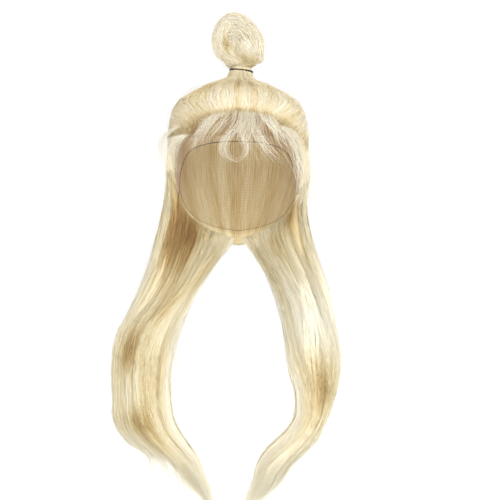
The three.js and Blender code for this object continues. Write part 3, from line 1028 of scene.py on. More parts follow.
def mass_points(half, across, along):
    """The middle of one side's loose hair: across runs outer to inner edge, along from root to end."""
    rows = half["rows"]
    azimuth = mix(half["outer_azimuth"], half["inner_azimuth"], across)
    root = head_point(half["side"] * azimuth, nape_polar(azimuth), ROOT_LIFT)
    root = root + np.array([0, 0, ROOT_RISE])
    edges = np.array(rows, float)
    at = np.clip(along, 0, 1) * len(rows)
    low = np.clip(np.floor(at).astype(int), 0, len(rows) - 1)
    t = (at - low)[..., None]

    def knot(number):
        number = np.clip(number, 0, len(rows))
        row = edges[np.maximum(number - 1, 0)]
        hanging = mix(row[..., 0:3], row[..., 3:6], across[..., None])
        return np.where((number == 0)[..., None], root, hanging)

    a, b = knot(low), knot(low + 1)
    before = np.where((low == 0)[..., None], 2 * a - b, knot(low - 1))
    after = np.where((low == len(rows) - 1)[..., None], 2 * b - a, knot(low + 2))
    leave, arrive = (b - before) / 2, (after - a) / 2
    return (
        a * (1 + 2 * t) * (1 - t) ** 2
        + leave * t * (1 - t) ** 2
        + b * t**2 * (3 - 2 * t)
        + arrive * t**2 * (t - 1)
    )


def mass_thickness(half, along):
    values = [ROOT_THICKNESS] + [row[6] for row in half["rows"]]
    return spline(np.linspace(0, 1, len(values)), values, along)


def mass_frame(half, across, along):
    """Middle, way across with its length, and the normal that faces the front of a hanging mass."""
    step = 0.01
    middle = mass_points(half, across, along)
    wide = (
        mass_points(half, across + step, along) - mass_points(half, across - step, along)
    ) / (2 * step)
    way = mass_points(half, across, along + step) - mass_points(half, across, along - step)
    normal = np.cross(way, wide) * -half["side"]
    normal /= np.linalg.norm(normal, axis=-1, keepdims=True)
    return middle, wide, normal


def loose_azimuth(half, across, down, middle=180):
    """Loose hair leaves the parting all round the back and is drawn behind the ears to the nape."""
    low = mix(half["outer_azimuth"], middle, across)
    high = mix(BACK_HAIR_FRONT, 180, across)
    return half["side"] * mix(high, low, np.clip(down, 0, 1) ** 1.2)


def back_surface(half, across, down, face, middle=180):
    """Points of the loose hair on the cap: down is 0 at the parting and 1 at the nape, face 1 outside."""
    azimuth = loose_azimuth(half, across, down, middle)
    top = hairline_polar(loose_azimuth(half, across, 0.0)) + 0.4
    low = nape_polar(loose_azimuth(half, across, 1.0, middle))
    rim = hairline_lift(fold(azimuth)) * 0.74
    outside = mix(np.minimum(rim, 10), back_lift(azimuth, down), smooth(-0.02, 0.16, down))
    lift = mix(HAIR_INSIDE, outside, (face + 1) / 2)
    return head_point(azimuth, mix(top, low, down), lift)


# Random draws for strands


class Draw:
    """Random draws of one group, one for each strand."""

    def __init__(self, group, count=1, points=2, random=None):
        seed = bpy.context.scene.wig_hair.seed * SEED_STEP + DRAW_GROUPS.index(group) + 1
        self.random = random or np.random.default_rng(seed)
        self.group = group
        self.count = count
        self.points = points
        self.along = np.broadcast_to(np.linspace(0, 1, points), (count, points))

    def again(self, count):
        """Further draws of the same group, for another number of strands."""
        return Draw(self.group, count, self.points, self.random)

    def even(self, low, high):
        """Numbers spread evenly from low to high."""
        return self.random.uniform(low, high, (self.count, 1))

    def bell(self, spread):
        """Numbers about 0 that grow rare beyond spread."""
        return self.random.normal(0, spread, (self.count, 1))

    def chance(self):
        """Numbers spread evenly from 0 to 1, to choose by."""
        return self.random.random((self.count, 1))

    def places(self):
        """Places from 0 to 1, one in each of as many even steps."""
        return (np.arange(self.count)[:, None] + self.even(0, 1)) / self.count

    def wave(self, bends, sway, points=None):
        """A slow sway along each strand: bends is about how many half-waves it has."""
        phase = self.even(0, 2 * np.pi)
        pace = self.even(0.6, 1.4) * bends * np.pi
        return sway * np.sin(phase + pace * np.linspace(0, 1, points or self.points))

    def drift(self, at, count):
        """Numbers from -1 to 1 that change slowly with a place from 0 to 1, for locks of like strands."""
        return spline(np.linspace(0, 1, count + 1), self.random.uniform(-1, 1, count + 1), at)

    def widths(self, kind):
        """Half widths in millimetres: a random share of the full width, less at the root and the tip."""
        low, high, root, tip = WIDTHS[kind]
        full = bpy.context.scene.wig_hair.strand_width / MM / 2
        t = np.linspace(0, 1, self.points)
        taper = mix(root, 1, smooth(0, 0.15, t)) * mix(1, tip, smooth(0.6, 1, t))
        return full * self.even(low, high) * taper


def stacked(parts):
    """Strand values of several groups with the same number of points, as one."""
    return tuple(np.concatenate(values) for values in zip(*parts))


def eased(paths, first, last):
    """Points of strands from first to last, drawn towards their neighbours."""
    before, after = paths[:, first - 1 : last - 1], paths[:, first + 1 : last + 1]
    return 0.25 * before + 0.5 * paths[:, first:last] + 0.25 * after


def painted_shading_sum(rows, across, along):
    """Sum of the painted shade and highlights of a table, at points given by how far across and along."""
    total = np.zeros(np.broadcast(across, along).shape)
    for row in rows:
        off = ((across - row["across"]) / row["wide"]) ** 2
        off = off + ((along - row["along"]) / row["long"]) ** 2
        total = total + row["tone"] * np.exp(-off)
    return total


# Pieces


def crown_parts():
    """Strands of the swept-up hair: most start at the hairline, and some part of the way up."""
    draw = Draw("crown", bpy.context.scene.wig_hair.crown_strands, len(CROWN_STEPS))
    place_round = draw.places()
    azimuth = place_round * 360 - 180
    azimuth = azimuth - 24 * np.sin(np.radians(azimuth))
    kind = draw.chance()
    begin = np.where(kind < CROWN_AT_HAIRLINE, draw.even(-0.05, 0.03), draw.even(0.02, 0.5))
    begin = np.where(kind < CROWN_UNDER_HAIRLINE, draw.even(-0.12, -0.02), begin)
    way = mix(begin, 1, CROWN_STEPS)
    turn = azimuth + draw.wave(2, 1.8) * (1 - way)
    ridge = draw.drift(place_round, 70) * smooth(0.02, 0.2, way) * smooth(1, 0.7, way)
    depth = 1 + draw.bell(0.014) + draw.wave(3, 0.012) + 0.035 * ridge
    paths = crown_surface(turn, way, depth, np.minimum(begin, CROWN_LEAVE))
    radius = draw.widths("crown")
    # Painted highlight in a band low on the crown, painted shade at the roots and on the upper crown, and
    # painted light at the neck under the tie
    painted_highlight = 0.17 * smooth(0.03, 0.12, way) * smooth(0.5, 0.25, way)
    painted_root_shade = -0.14 * smooth(0.06, -0.03, way)
    painted_upper_shade = -0.1 * smooth(0.3, 0.5, way) * smooth(0.85, 0.65, way)
    tint = TINTS["crown"] + draw.bell(0.11) + painted_highlight + painted_root_shade + painted_upper_shade + 0.1 * smooth(0.7, 0.9, way)
    # Tint that differs at random from lock to lock, with painted highlight on the ridges and painted shade
    # in the hollows between them
    tint = tint + 0.13 * draw.drift(place_round, 44) + 0.09 * ridge
    return stacked([(paths, radius, tint, np.clip(way, 0, 1)), crown_flyaways()])


def crown_flyaways():
    """Thin short hairs that stand off the swept-up hair."""
    draw = Draw("crown_flyaways", CROWN_FLYAWAYS, len(CROWN_STEPS))
    t = draw.along
    azimuth = draw.even(-180, 180) + t * draw.even(-14, 14)
    way = draw.even(0.02, 0.6) + t * draw.even(0.08, 0.25)
    rise = draw.even(0.08, 0.34) * np.sin(t * draw.even(1.6, 3.0))
    paths = crown_surface(azimuth, way, 1 + rise)
    return paths, draw.widths("flyaway"), np.full(t.shape, TINTS["flyaway"]), t


def crown_body():
    """The body under the swept-up strands: down its inside, then up its outside from the hairline."""
    steps = np.concatenate([np.linspace(0.01, 0.1, 7), np.linspace(0.14, 1, 24)])
    azimuth = np.linspace(-180, 180, CROWN_COLUMNS + 1)[:-1]
    turn, way = np.meshgrid(azimuth, steps)
    outside = crown_surface(turn, way, np.full(turn.shape, BODY_DEPTH))
    turn_in, up = np.meshgrid(azimuth, np.linspace(0, 1, 14)[1:])
    inside = head_point(turn_in, hairline_polar(turn_in) * mix(0.02, 0.995, up), HAIR_INSIDE)
    points = np.concatenate([inside, outside])
    places = np.linspace(0, 1, len(azimuth))
    streak = TINTS["body"] + 0.12 * Draw("crown_body").drift(places, 44)
    # Painted shade on the inside of the cap and on the upper crown
    painted_upper_shade = -0.12 * smooth(0.3, 0.5, way) * smooth(0.85, 0.65, way)
    shade = np.concatenate([np.full(inside.shape[:2], -0.2), painted_upper_shade])
    along = np.concatenate([np.broadcast_to(0.1, inside.shape[:2]), way])
    return grid_mesh("crown_body", points, streak + shade, along)


class WIG_OT_crown_hair(bpy.types.Operator):
    """Strands swept up from the hairline and the parting to the tie"""

    bl_idname = "wig.crown_hair"
    bl_label = "Swept-up Hair"

    def execute(self, context):
        bodies = [crown_body()]
        hair_piece("crown_hair_strands", crown_parts(), bodies, "swept_hair", ("crown_hair",))
        return {"FINISHED"}


def filled_share(across):
    """Share of full thickness across a side's loose hair, as one rounded section."""
    return np.sqrt(np.clip(1 - np.abs(2 * across - 1) ** 4, 0.05, 1))


def back_share(half, across):
    """Share of full thickness at the back of a side's loose hair: its locks, with their grooves filled."""
    share = filled_share(across)
    for lock in half["locks"]:
        off = (across - lock["place"]) / (lock["share"] / 2)
        share = np.maximum(share, np.sqrt(np.clip(1 - off**2, 0, 1)))
    return share


def hang(half, across, along, face, draw, sweep=False, shell=1):
    """Strand points on a side's loose hair, where face is the way out from its middle.

    Those that sweep start on the back hair, at a share of its thickness given by shell.
    """
    spine, _, normal = mass_frame(half, across, along)
    paths = spine + normal * face[..., None]
    high = draw.even(0.35, 0.85)
    root = np.clip(across[:, :1], 0, 1)
    sweep = np.broadcast_to(sweep, root.shape)
    shell = np.broadcast_to(shell, root.shape)
    for number, share in enumerate((0, 0.5, 0.9)):
        start = back_surface(half, root, mix(high, 1, share), shell, BACK_MIDDLE)
        paths[:, number] = np.where(sweep, start[:, 0], paths[:, number])
    for _ in range(EASING_ROUNDS):
        paths[:, 2:8] = np.where(sweep[..., None], eased(paths, 2, 8), paths[:, 2:8])
    return paths


def length_parts(half):
    """Strands of a side's loose hair, lock by lock, front and back, and along its outer rim."""
    count = bpy.context.scene.wig_hair.loose_strands
    draw = Draw(f"{half['name']}_length", count, len(LOOSE_STEPS))
    locks = half["locks"]
    rim = np.arange(count)[:, None] < count * RIM_SHARE
    chosen = np.where(rim[:, 0], 0, draw.random.integers(0, len(locks), count))
    middle, share, end = (
        np.array([lock[name] for lock in locks])[chosen][:, None] for name in locks[0]
    )
    off = np.where(rim, draw.even(-1.02, -0.9), draw.even(-0.98, 0.98))
    reach = np.where(
        draw.chance() < FULL_LENGTH_SHARE,
        mix(0.86, np.minimum(1.06, 1.02 / end), draw.chance()),
        draw.even(0.6, 0.9),
    )
    along = np.clip(end * reach * LOOSE_STEPS, 0, 1)
    near_end = smooth(0.7, 1.0, along / end)
    splay = draw.bell(0.25) * smooth(0.8, 1, LOOSE_STEPS)
    spread = off * (1 - 0.4 * near_end) + draw.wave(3, 0.06) + splay
    curl = 0.035 * np.sin(38 * along + 1.7 * chosen[:, None]) * smooth(0.5, 0.75, along)
    across = middle + spread * share / 2 + curl
    front = draw.chance() < FRONT_SHARE
    across = np.where(front, across, mix(0.5, across, BACK_SHEET_WIDTH))
    lens = np.sqrt(np.clip(1 - spread**2, 0.02, 1))
    bulge = np.maximum(lens, 0.84 * filled_share(across)) * draw.even(0.86, 1.03)
    bulge = mix(1.05, bulge, smooth(0, 0.08, along))
    half_thick = mass_thickness(half, along) / 2 * mix(1, 0.3, near_end)
    sheet = -back_share(half, across) * draw.even(0.96, 1.08)
    out = np.where(rim, draw.even(-0.5, 0.4), np.where(front, bulge, sheet))
    face = out * half_thick + draw.wave(4, 0.6)
    root = across[:, :1]
    from_back = draw.chance() < mix(1, 0.3, smooth(0.5, 0.9, root))
    shell = np.where(front, draw.even(-0.3, 1), 1.04)
    sweep = np.where(front, root < 0.13, from_back)
    paths = hang(half, across, along, face, draw, sweep, shell)
    radius = draw.widths("loose")
    lock_tone = 0.1 * draw.drift(np.clip(across, 0, 1), 24)
    behind = mix(0.9, 0.35, smooth(0.1, 0.35, across))
    # Painted shade and highlights from the side's table, weaker on the strands behind, and painted light
    # along both edges
    painted_shading = painted_shading_sum(half["painted_shading"], across, along) * np.where(front, 1, behind)
    painted_edge_light = 0.2 * (smooth(0.93, 1, across) + smooth(0.07, 0, across))
    tint = TINTS["loose"] + draw.bell(0.08) + painted_shading + lock_tone + painted_edge_light
    strands = (paths, radius, tint, mix(LENGTH_ON_BACK, 1, along))
    return stacked([strands, over_parts(half, draw), stray_parts(half, draw)])


def over_parts(half, draw):
    """Strands of a lock that crosses in front of the others."""
    lock = half["over"]
    draw = draw.again(lock["count"])
    spine = np.array(lock["spine"])
    along = mix(spine[0, 1], spine[-1, 1] * draw.even(0.8, 1), LOOSE_STEPS)
    off = draw.even(-1, 1) + draw.wave(3, 0.1)
    share = lock["share"] / 2 * mix(0.3, 1, smooth(0, 0.25, LOOSE_STEPS))
    across = np.minimum(spline(spine[:, 1], spine[:, 0], along) + off * share, 1.02)
    bulge = np.sqrt(np.clip(1 - off**2, 0, 1))
    fade = smooth(0, 0.12, LOOSE_STEPS) * smooth(1, 0.75, LOOSE_STEPS)
    face = mass_thickness(half, along) / 2 * 0.92 + lock["proud"] * bulge * fade
    inside = np.sqrt(np.clip(1 - np.clip(2 * np.abs(across - 0.5), 0, 1) ** 4, 0.04, 1))
    paths = hang(half, across, along, face * inside, draw)
    radius = draw.widths("over")
    # Painted shade and highlights from the side's table, tint that differs at random across the lock, and
    # painted shade along one of its edges
    tint = TINTS["over"] + draw.bell(0.09) + 0.9 * painted_shading_sum(half["painted_shading"], across, along)
    tint = tint + 0.09 * draw.drift((off + 1.3) / 2.6, 9)
    tint = tint - 0.08 * smooth(0.75, 1, -off) * fade
    return paths, radius, tint, mix(LENGTH_ON_BACK, 1, along)


def stray_parts(half, draw):
    """Thin wisps that leave the inner edge and fan out towards the middle."""
    strays = half["strays"]
    draw = draw.again(strays["count"])
    leave = draw.even(*strays["leave"])
    end = draw.even(*strays["end"])
    out = draw.even(*strays["out"])
    along = mix(leave - 0.1, end, LOOSE_STEPS)
    fan = np.clip((along - leave) / (end - leave), 0, 1) ** 1.3
    across = mix(draw.even(0.86, 0.98), out, fan) + draw.wave(2, 0.015)
    face = mix(0.2, 1, draw.chance()) * mass_thickness(half, along) * mix(0.35, 0.1, fan)
    paths = hang(half, across, along, face, draw)
    return paths, draw.widths("stray"), np.full(along.shape, TINTS["stray"]), along


def length_bodies(half):
    """A body for each lock of a side's loose hair, thinner at the back."""
    angle = np.arange(LOCK_SIDES) * 2 * np.pi / LOCK_SIDES
    steps = np.linspace(0, 1, LOCK_ROWS)
    order = slice(None, None, half["side"])
    bodies = []
    for lock in half["locks"]:
        along = (steps * lock["end"] * LOCK_BODY_LENGTH)[:, None]
        along = np.broadcast_to(along, (LOCK_ROWS, LOCK_SIDES))
        size = (mix(0.12, 1, np.sqrt(np.minimum((1 - steps) / 0.32, 1))) * 0.9)[:, None]
        across = lock["place"] + np.cos(angle) * lock["share"] / 2 * size
        spine, _, normal = mass_frame(half, across, along)
        behind = mix(mix(0.25, 0.82, smooth(0, 0.14, along)), 1, np.sin(angle) > 0)
        thick = mass_thickness(half, along) / 2 * size * np.sin(angle) * behind
        points = (spine + normal * thick[..., None])[:, order]
        front = mix(0.3, 1, np.sin(angle) > 0)[order]
        # The front of a body takes the side's painted shade and highlights in full, the back less
        tint = mix(0.53, 0.5, front) + painted_shading_sum(half["painted_shading"], across[:, order], along) * front
        bodies.append(grid_mesh("lock_body", points, tint, mix(LENGTH_ON_BACK, 1, along)))
    return bodies


class WIG_OT_lengths(bpy.types.Operator):
    """Loose hair that hangs from the nape and is drawn forward over each shoulder"""

    bl_idname = "wig.lengths"
    bl_label = "Loose Lengths"

    def execute(self, context):
        for half in (LEFT_SIDE, RIGHT_SIDE):
            node = f"{half['name']}_length"
            strands, bodies = length_parts(half), length_bodies(half)
            hair_piece(f"{node}_strands", strands, bodies, "loose_hair", (node,))
        return {"FINISHED"}


def back_parts():
    """Strands that lie on the back of the cap and run on into the loose hair."""
    split = len(BACK_STEPS)
    parts = []
    for half in (LEFT_SIDE, RIGHT_SIDE):
        count = bpy.context.scene.wig_hair.back_strands
        draw = Draw(f"{half['name']}_back", count, split + len(BACK_RUNS))
        place_round = draw.places()
        across = np.clip(place_round + draw.wave(2, 0.012), 0, 1)
        from_parting = draw.chance() < BACK_FROM_PARTING
        begin = np.where(from_parting, draw.even(-0.06, 0.02), draw.even(0, 0.4))
        down = mix(begin, 1, BACK_STEPS)
        ridge = draw.drift(place_round, 36)
        swell = 0.07 * ridge * smooth(0.05, 0.3, down)
        face = 1 + draw.bell(0.03) + draw.wave(3, 0.03, split) + swell
        upper = back_surface(half, across[:, :split], down, face, BACK_MIDDLE)
        along = BACK_RUNS * draw.even(0.3, 1)
        behind = -mass_thickness(half, along) / 2 * draw.even(1, 1.14)
        low = across[:, split:]
        behind = behind * back_share(half, low)
        spine, _, normal = mass_frame(half, low, along)
        paths = np.concatenate([upper, spine + normal * behind[..., None]], 1)
        for _ in range(EASING_ROUNDS):
            paths[:, 6:12] = eased(paths, 6, 12)
        radius = draw.widths("back")
        way = [LENGTH_ON_BACK * np.clip(down, 0, 1), mix(LENGTH_ON_BACK, 1, along)]
        way = np.concatenate(way, 1)
        # Tint that differs at random, with painted highlight on the ridges and painted shade between them;
        # darker from the lower back on, and painted shade low on the outer side under the ears
        tint = TINTS["back"] + draw.bell(0.13) + 0.1 * ridge - 0.12 * smooth(0.15, 0.25, way)
        tint = tint - 0.22 * smooth(0.08, 0.2, way) * smooth(0.45, 0.1, across)
        parts += [(paths, radius, tint, way), nape_parts(half, draw)]
    return stacked(parts)


def nape_parts(half, draw):
    """Short hairs that lie straight down the middle of the nape."""
    draw = draw.again(NAPE_HAIRS)
    across = np.broadcast_to(draw.even(0.84, 1), draw.along.shape)
    down = mix(draw.even(0.35, 0.8), draw.even(0.97, 1.03), draw.along)
    face = 0.98 + draw.wave(3, 0.04)
    paths = back_surface(half, across, down, face)
    radius = draw.widths("nape")
    tint = np.broadcast_to(TINTS["nape"] + draw.bell(0.12), down.shape)
    return paths, radius, tint, LENGTH_ON_BACK * down


def back_body():
    """The body under the back strands: its outside, and back along its inside, closed at both edges."""
    rows = np.linspace(-0.05, 1.015, BACK_ROWS)
    rows = np.concatenate([rows[:1], rows, rows[-1:]])
    open_rows = np.arange(len(rows)) % (len(rows) - 1) > 0
    grid, down = np.meshgrid(np.linspace(0, 1, BACK_COLUMNS), rows)
    faces = []
    for depth in (BACK_BODY_DEPTH, -1):
        face = mix(-0.07, depth, open_rows)[:, None] + 0 * grid
        left = back_surface(LEFT_SIDE, grid, down, face)
        right = back_surface(RIGHT_SIDE, grid, down, face)[:, ::-1]
        faces.append(np.concatenate([left, right[:, 1:]], 1))
    outside, inside = faces
    points = np.concatenate([outside, inside[:, ::-1]], 1)
    places = np.linspace(0, 1, points.shape[1])
    streak = TINTS["body"] + 0.12 * Draw("back_body").drift(places, 60)
    along = np.broadcast_to(LENGTH_ON_BACK * rows[:, None], points.shape[:2])
    is_outside = np.arange(points.shape[1]) < outside.shape[1]
    shade = -0.12 * np.where(is_outside, smooth(0.75, 1, rows)[:, None], 1)
    return grid_mesh("back_body", points, streak + shade, along, caps=False)


class WIG_OT_back_hair(bpy.types.Operator):
    """Loose hair that lies on the back of the cap, from the parting to the nape"""

    bl_idname = "wig.back_hair"
    bl_label = "Back Hair"

    def execute(self, context):
        hair_piece("back_hair_strands", back_parts(), [back_body()], "loose_hair", ("back_hair",))
        return {"FINISHED"}


def roll_points(at, angle, size):
    """Points round the rolled knot: at is the way along the roll, angle 0 at its back."""
    roll = {name: track(KNOT_ROLL, name) for name in ("x", "y", "z", "half_width", "half_depth")}

    def middle(where):
        return np.stack([roll["x"](where), roll["y"](where), roll["z"](where)], -1)

    way = middle(np.minimum(at + 0.01, 1)) - middle(np.maximum(at - 0.01, 0))
    deep = np.broadcast_to(np.array([0.0, 1.0, 0.0]), way.shape)
    wide = np.cross(way, deep)
    wide /= np.linalg.norm(wide, axis=-1, keepdims=True)
    points = (
        middle(at)
        + deep * (np.cos(angle) * roll["half_depth"](at) * size)[..., None]
        + wide * (np.sin(angle) * roll["half_width"](at) * size)[..., None]
    )
    points[..., 2] = np.maximum(points[..., 2], KNOT_BASE)
    return points


def knot_parts():
    """Strands of the knot: those of its roll, then its fan, its flyaways and its coils."""
    draw = Draw("knot", bpy.context.scene.wig_hair.knot_strands, KNOT_POINTS)
    from_tie = draw.chance() < KNOT_FROM_TIE
    begin = np.where(from_tie, 0, draw.even(0.1, 0.55))
    run = np.where(from_tie, draw.even(0.3, 0.6), draw.even(0.2, 0.4))
    at = np.clip(begin + run * draw.along, 0, 0.7)
    angle = draw.even(0, 2 * np.pi) + draw.wave(2, 0.12)
    ridge = draw.drift((angle / (2 * np.pi)) % 1, 26)
    size = 1 + draw.bell(0.015) + draw.wave(3, 0.012) + 0.02 * ridge
    paths = roll_points(at, angle, size)
    radius = draw.widths("knot")
    inside = smooth(-0.2, 1, -np.sin(angle))
    # Painted highlight on the ridges and painted shade between them, on the inside of the roll and at its
    # foot by the tie
    tint = TINTS["knot"] + draw.bell(0.13) + 0.12 * ridge
    tint = tint - 0.35 * inside - 0.1 * smooth(0.1, 0, at)
    parts = [(paths, radius, tint, at), fan_parts(), knot_flyaways()]
    for coil in KNOT_COILS:
        parts.append(coil_parts(**coil))
    paths, radius, tint, at = stacked(parts)
    # The knot's strands also take the painted shade and highlights on its front
    return knot_lean(paths), radius, tint + knot_painted_shading(paths), at


def knot_lean(points):
    """Points of the knot with its foot drawn aside just above the tie."""
    height = points[..., 2]
    aside = KNOT_LEAN * smooth(53, 45, height) * smooth(KNOT_BASE - 1, KNOT_BASE + 5, height)
    return points + aside[..., None] * np.array([1.0, 0, 0])


def knot_painted_shading(points):
    """Sum of the painted shade and highlights on the front of the knot."""
    total = painted_shading_sum(KNOT_PAINTED_SHADING, points[..., 0], points[..., 2])
    return total * smooth(10, 2, points[..., 1])


def lobe_points(lobe, fall, turn, size):
    """Points on a rounded lobe of the knot: fall is the angle from its axis, turn runs round it."""
    axis = np.array(KNOT_AXIS) / np.linalg.norm(KNOT_AXIS)
    side = np.cross(axis, (0, 0, 1))
    side /= np.linalg.norm(side)
    fall, turn = fall[..., None], turn[..., None]
    round_axis = side * np.cos(turn) + np.cross(axis, side) * np.sin(turn)
    way = axis * np.cos(fall) + round_axis * np.sin(fall)
    return np.array(lobe["middle"]) + way * np.array(lobe["half"]) * np.asarray(size)[..., None]


def coil_parts(group, lobe, count, fall):
    """Strands coiled round a rounded lobe of the knot."""
    draw = Draw(group, count, KNOT_POINTS)
    t = draw.along
    fall = draw.even(*fall)
    turn = np.radians(draw.even(0, 360) - t * draw.even(40, 110))
    fall = fall * (1 - 0.12 * t) + draw.wave(2, 0.05)
    size = 1 + draw.bell(0.014) + draw.wave(3, 0.014)
    paths = lobe_points(lobe, fall, turn, size)
    radius = draw.widths("coil")
    # Painted shade near the pole of the lobe, in the crease, and on its lower part
    low = smooth(-2, -14, paths[..., 2] - lobe["middle"][2])
    tint = TINTS["coil"] + draw.bell(0.13) - 0.08 * smooth(0.7, 0.2, fall) - 0.15 * low
    return paths, radius, tint, t


def fan_parts():
    """Strands that fan up from the crease beside the coil and over the top."""
    draw = Draw("knot_fan", FAN_DRAWN, KNOT_POINTS)
    t = draw.along
    fall = draw.even(0.35, 1.7) + draw.wave(2, 0.04)
    turn = np.radians(draw.even(0, 360) - t * draw.even(35, 80))
    size = 1 + draw.bell(0.012) + draw.wave(3, 0.01)
    paths = lobe_points(KNOT_FAN, fall, turn, size)
    kept = (paths[..., 2].min(1) > 60) & (paths[..., 1].max(1) < 4)
    radius = draw.widths("coil")
    # Painted shade on the low ends of the fan, by the crease
    tint = TINTS["coil"] + draw.bell(0.14) - 0.35 * smooth(66, 58, paths[..., 2])
    return tuple(values[kept][:FAN_KEPT] for values in (paths, radius, tint, t))


def knot_flyaways():
    """Thin hairs that stand off the knot."""
    draw = Draw("knot_flyaways", KNOT_FLYAWAYS, KNOT_POINTS)
    t = draw.along
    at = np.clip(draw.even(0.05, 0.6) + t * draw.even(0.06, 0.16), 0, 0.8)
    angle = draw.even(0, 2 * np.pi) + t * draw.even(-0.5, 0.5)
    size = 1 + draw.even(0.04, 0.22) * np.sin(t * draw.even(1.6, 3))
    radius = draw.widths("flyaway")
    return roll_points(at, angle, size), radius, np.full(t.shape, TINTS["flyaway"]), t


def knot_bodies():
    """Bodies under the strands of the knot: two lengths of its roll, and its rounded lobes."""
    angle = np.arange(KNOT_SIDES) * 2 * np.pi / KNOT_SIDES
    bodies = []
    for low, high in ((0, 0.6), (0.48, 0.66)):
        at, turn = np.meshgrid(np.linspace(low, high, ROLL_ROWS), angle, indexing="ij")
        points = roll_points(at, turn, np.full(at.shape, BODY_DEPTH))
        # Painted shade on the inside of the roll, and painted shade and highlights on the front of the
        # knot
        tint = TINTS["roll_body"] - 0.25 * smooth(0, 1, -np.sin(turn)) + knot_painted_shading(points)
        bodies.append(grid_mesh("roll_body", knot_lean(points), tint, at))
    fall, turn = np.meshgrid(np.linspace(0.02, np.pi - 0.02, LOBE_ROWS), -angle, indexing="ij")
    for lobe in (KNOT_COIL, KNOT_CORE):
        points = lobe_points(lobe, fall, turn, np.full(fall.shape, BODY_DEPTH))
        # Painted shade and highlights on the front of the knot
        tint = lobe["tint"] + knot_painted_shading(points)
        bodies.append(grid_mesh("lobe_body", knot_lean(points), tint, 0.5))
    return bodies


class WIG_OT_top_knot(bpy.types.Operator):
    """Hair above the tie, rolled over and tucked into itself"""

    bl_idname = "wig.top_knot"
    bl_label = "Top Knot"

    def execute(self, context):
        hair_piece("top_knot_strands", knot_parts(), knot_bodies(), "swept_hair", ("top_knot",))
        return {"FINISHED"}


def temple_parts(group, rows, count):
    """Strands of a short lock that stands a little off the head."""
    draw = Draw(group, count, WISP_POINTS)
    lock = {name: track(rows, name) for name in rows[0]}
    at = draw.along * draw.even(0.45, 1)
    azimuth = lock["azimuth"](at)
    polar = polar_at_height(azimuth, lock["height"](at))
    splay = draw.bell(0.4) * smooth(0.5, 1, draw.along)
    out = draw.bell(0.7) + draw.wave(2, 0.4) + splay
    beside = draw.bell(0.9) * mix(6, 1.4, smooth(0, 0.6, draw.along)) + draw.wave(3, 0.9)
    lift = lock["lift"](at) + out * lock["width"](at) / 2
    shift = np.degrees(beside * lock["thickness"](at) / 2 / TEMPLE_RADIUS)
    paths = head_point(azimuth + shift, polar, np.maximum(lift, STRAND_LIFT))
    radius = draw.widths("temple")
    tint = np.broadcast_to(draw.even(0.65, 1.08), at.shape)
    return paths, radius, tint, at


class WIG_OT_temple_locks(bpy.types.Operator):
    """Short loose locks in front of the ears, with the puff over the left ear"""

    bl_idname = "wig.temple_locks"
    bl_label = "Temple Locks"

    def execute(self, context):
        count = context.scene.wig_hair.temple_strands
        puff = temple_parts("left_puff", LEFT_PUFF, PUFF_STRANDS)
        left = stacked([temple_parts("left_temple", LEFT_TEMPLE, count), puff])
        right = temple_parts("right_temple", RIGHT_TEMPLE, count)
        for node, strands in (("left_temple_lock", left), ("right_temple_lock", right)):
            hair_piece(f"{node}_strands", strands, [], "wisp_hair", (node,))
        return {"FINISHED"}


def brow_point(x, z, lift):
    """Points over the front of the head form, from their place across and up."""
    size = 1 + lift / HEAD_HALF_LENGTH
    half_height = np.where(z > -HEAD_TOP, HEAD_TOP, HEAD_DROP)
    left = (
        1
        - np.abs(x / (HEAD_HALF_WIDTH * size)) ** HEAD_FULLNESS
        - np.abs((z + HEAD_TOP) / (half_height * size)) ** HEAD_FULLNESS
    )
    y = -HEAD_HALF_LENGTH * size * np.clip(left, 0.001, 1) ** (1 / HEAD_FULLNESS)
    return np.stack(np.broadcast_arrays(x, y, z), -1)


def fringe_parts():
    """Fine wisps along the paths of the fringe table."""
    draw = Draw("fringe", points=WISP_POINTS)
    parts = []
    for row in FRINGE:
        draw = draw.again(row["count"])
        t = draw.along * draw.even(0.4, 1)
        path = np.array(row["path"], float)
        spot = spline(np.linspace(0, 1, len(path)), path, t)
        spread = mix(*row["spread"], t)
        aside = mix(draw.even(-1, 1), draw.bell(0.6), t)
        x = spot[..., 0] + aside * spread + draw.wave(3, 2.2) * t
        z = spot[..., 1] + draw.bell(0.4) * spread * t - 0.06 * np.abs(aside * spread)
        z = z + 4 * smooth(0.15, 0, t)
        arch = np.sin(np.pi * mix(0, 0.95, t))
        lift = STRAND_LIFT + row["lift"] * draw.even(0.3, 1.2) * arch
        radius = draw.widths("fringe")
        tint = np.broadcast_to(TINTS["fringe"] + draw.bell(0.06), t.shape)
        parts.append((brow_point(x, z, lift), radius, tint, t))
    return stacked(parts)


class WIG_OT_fringe(bpy.types.Operator):
    """Fine wisps that fall from the hairline over the lace front"""

    bl_idname = "wig.fringe"
    bl_label = "Fringe Wisps"

    def execute(self, context):
        hair_piece("fringe_wisps", fringe_parts(), [], "wisp_hair")
        return {"FINISHED"}


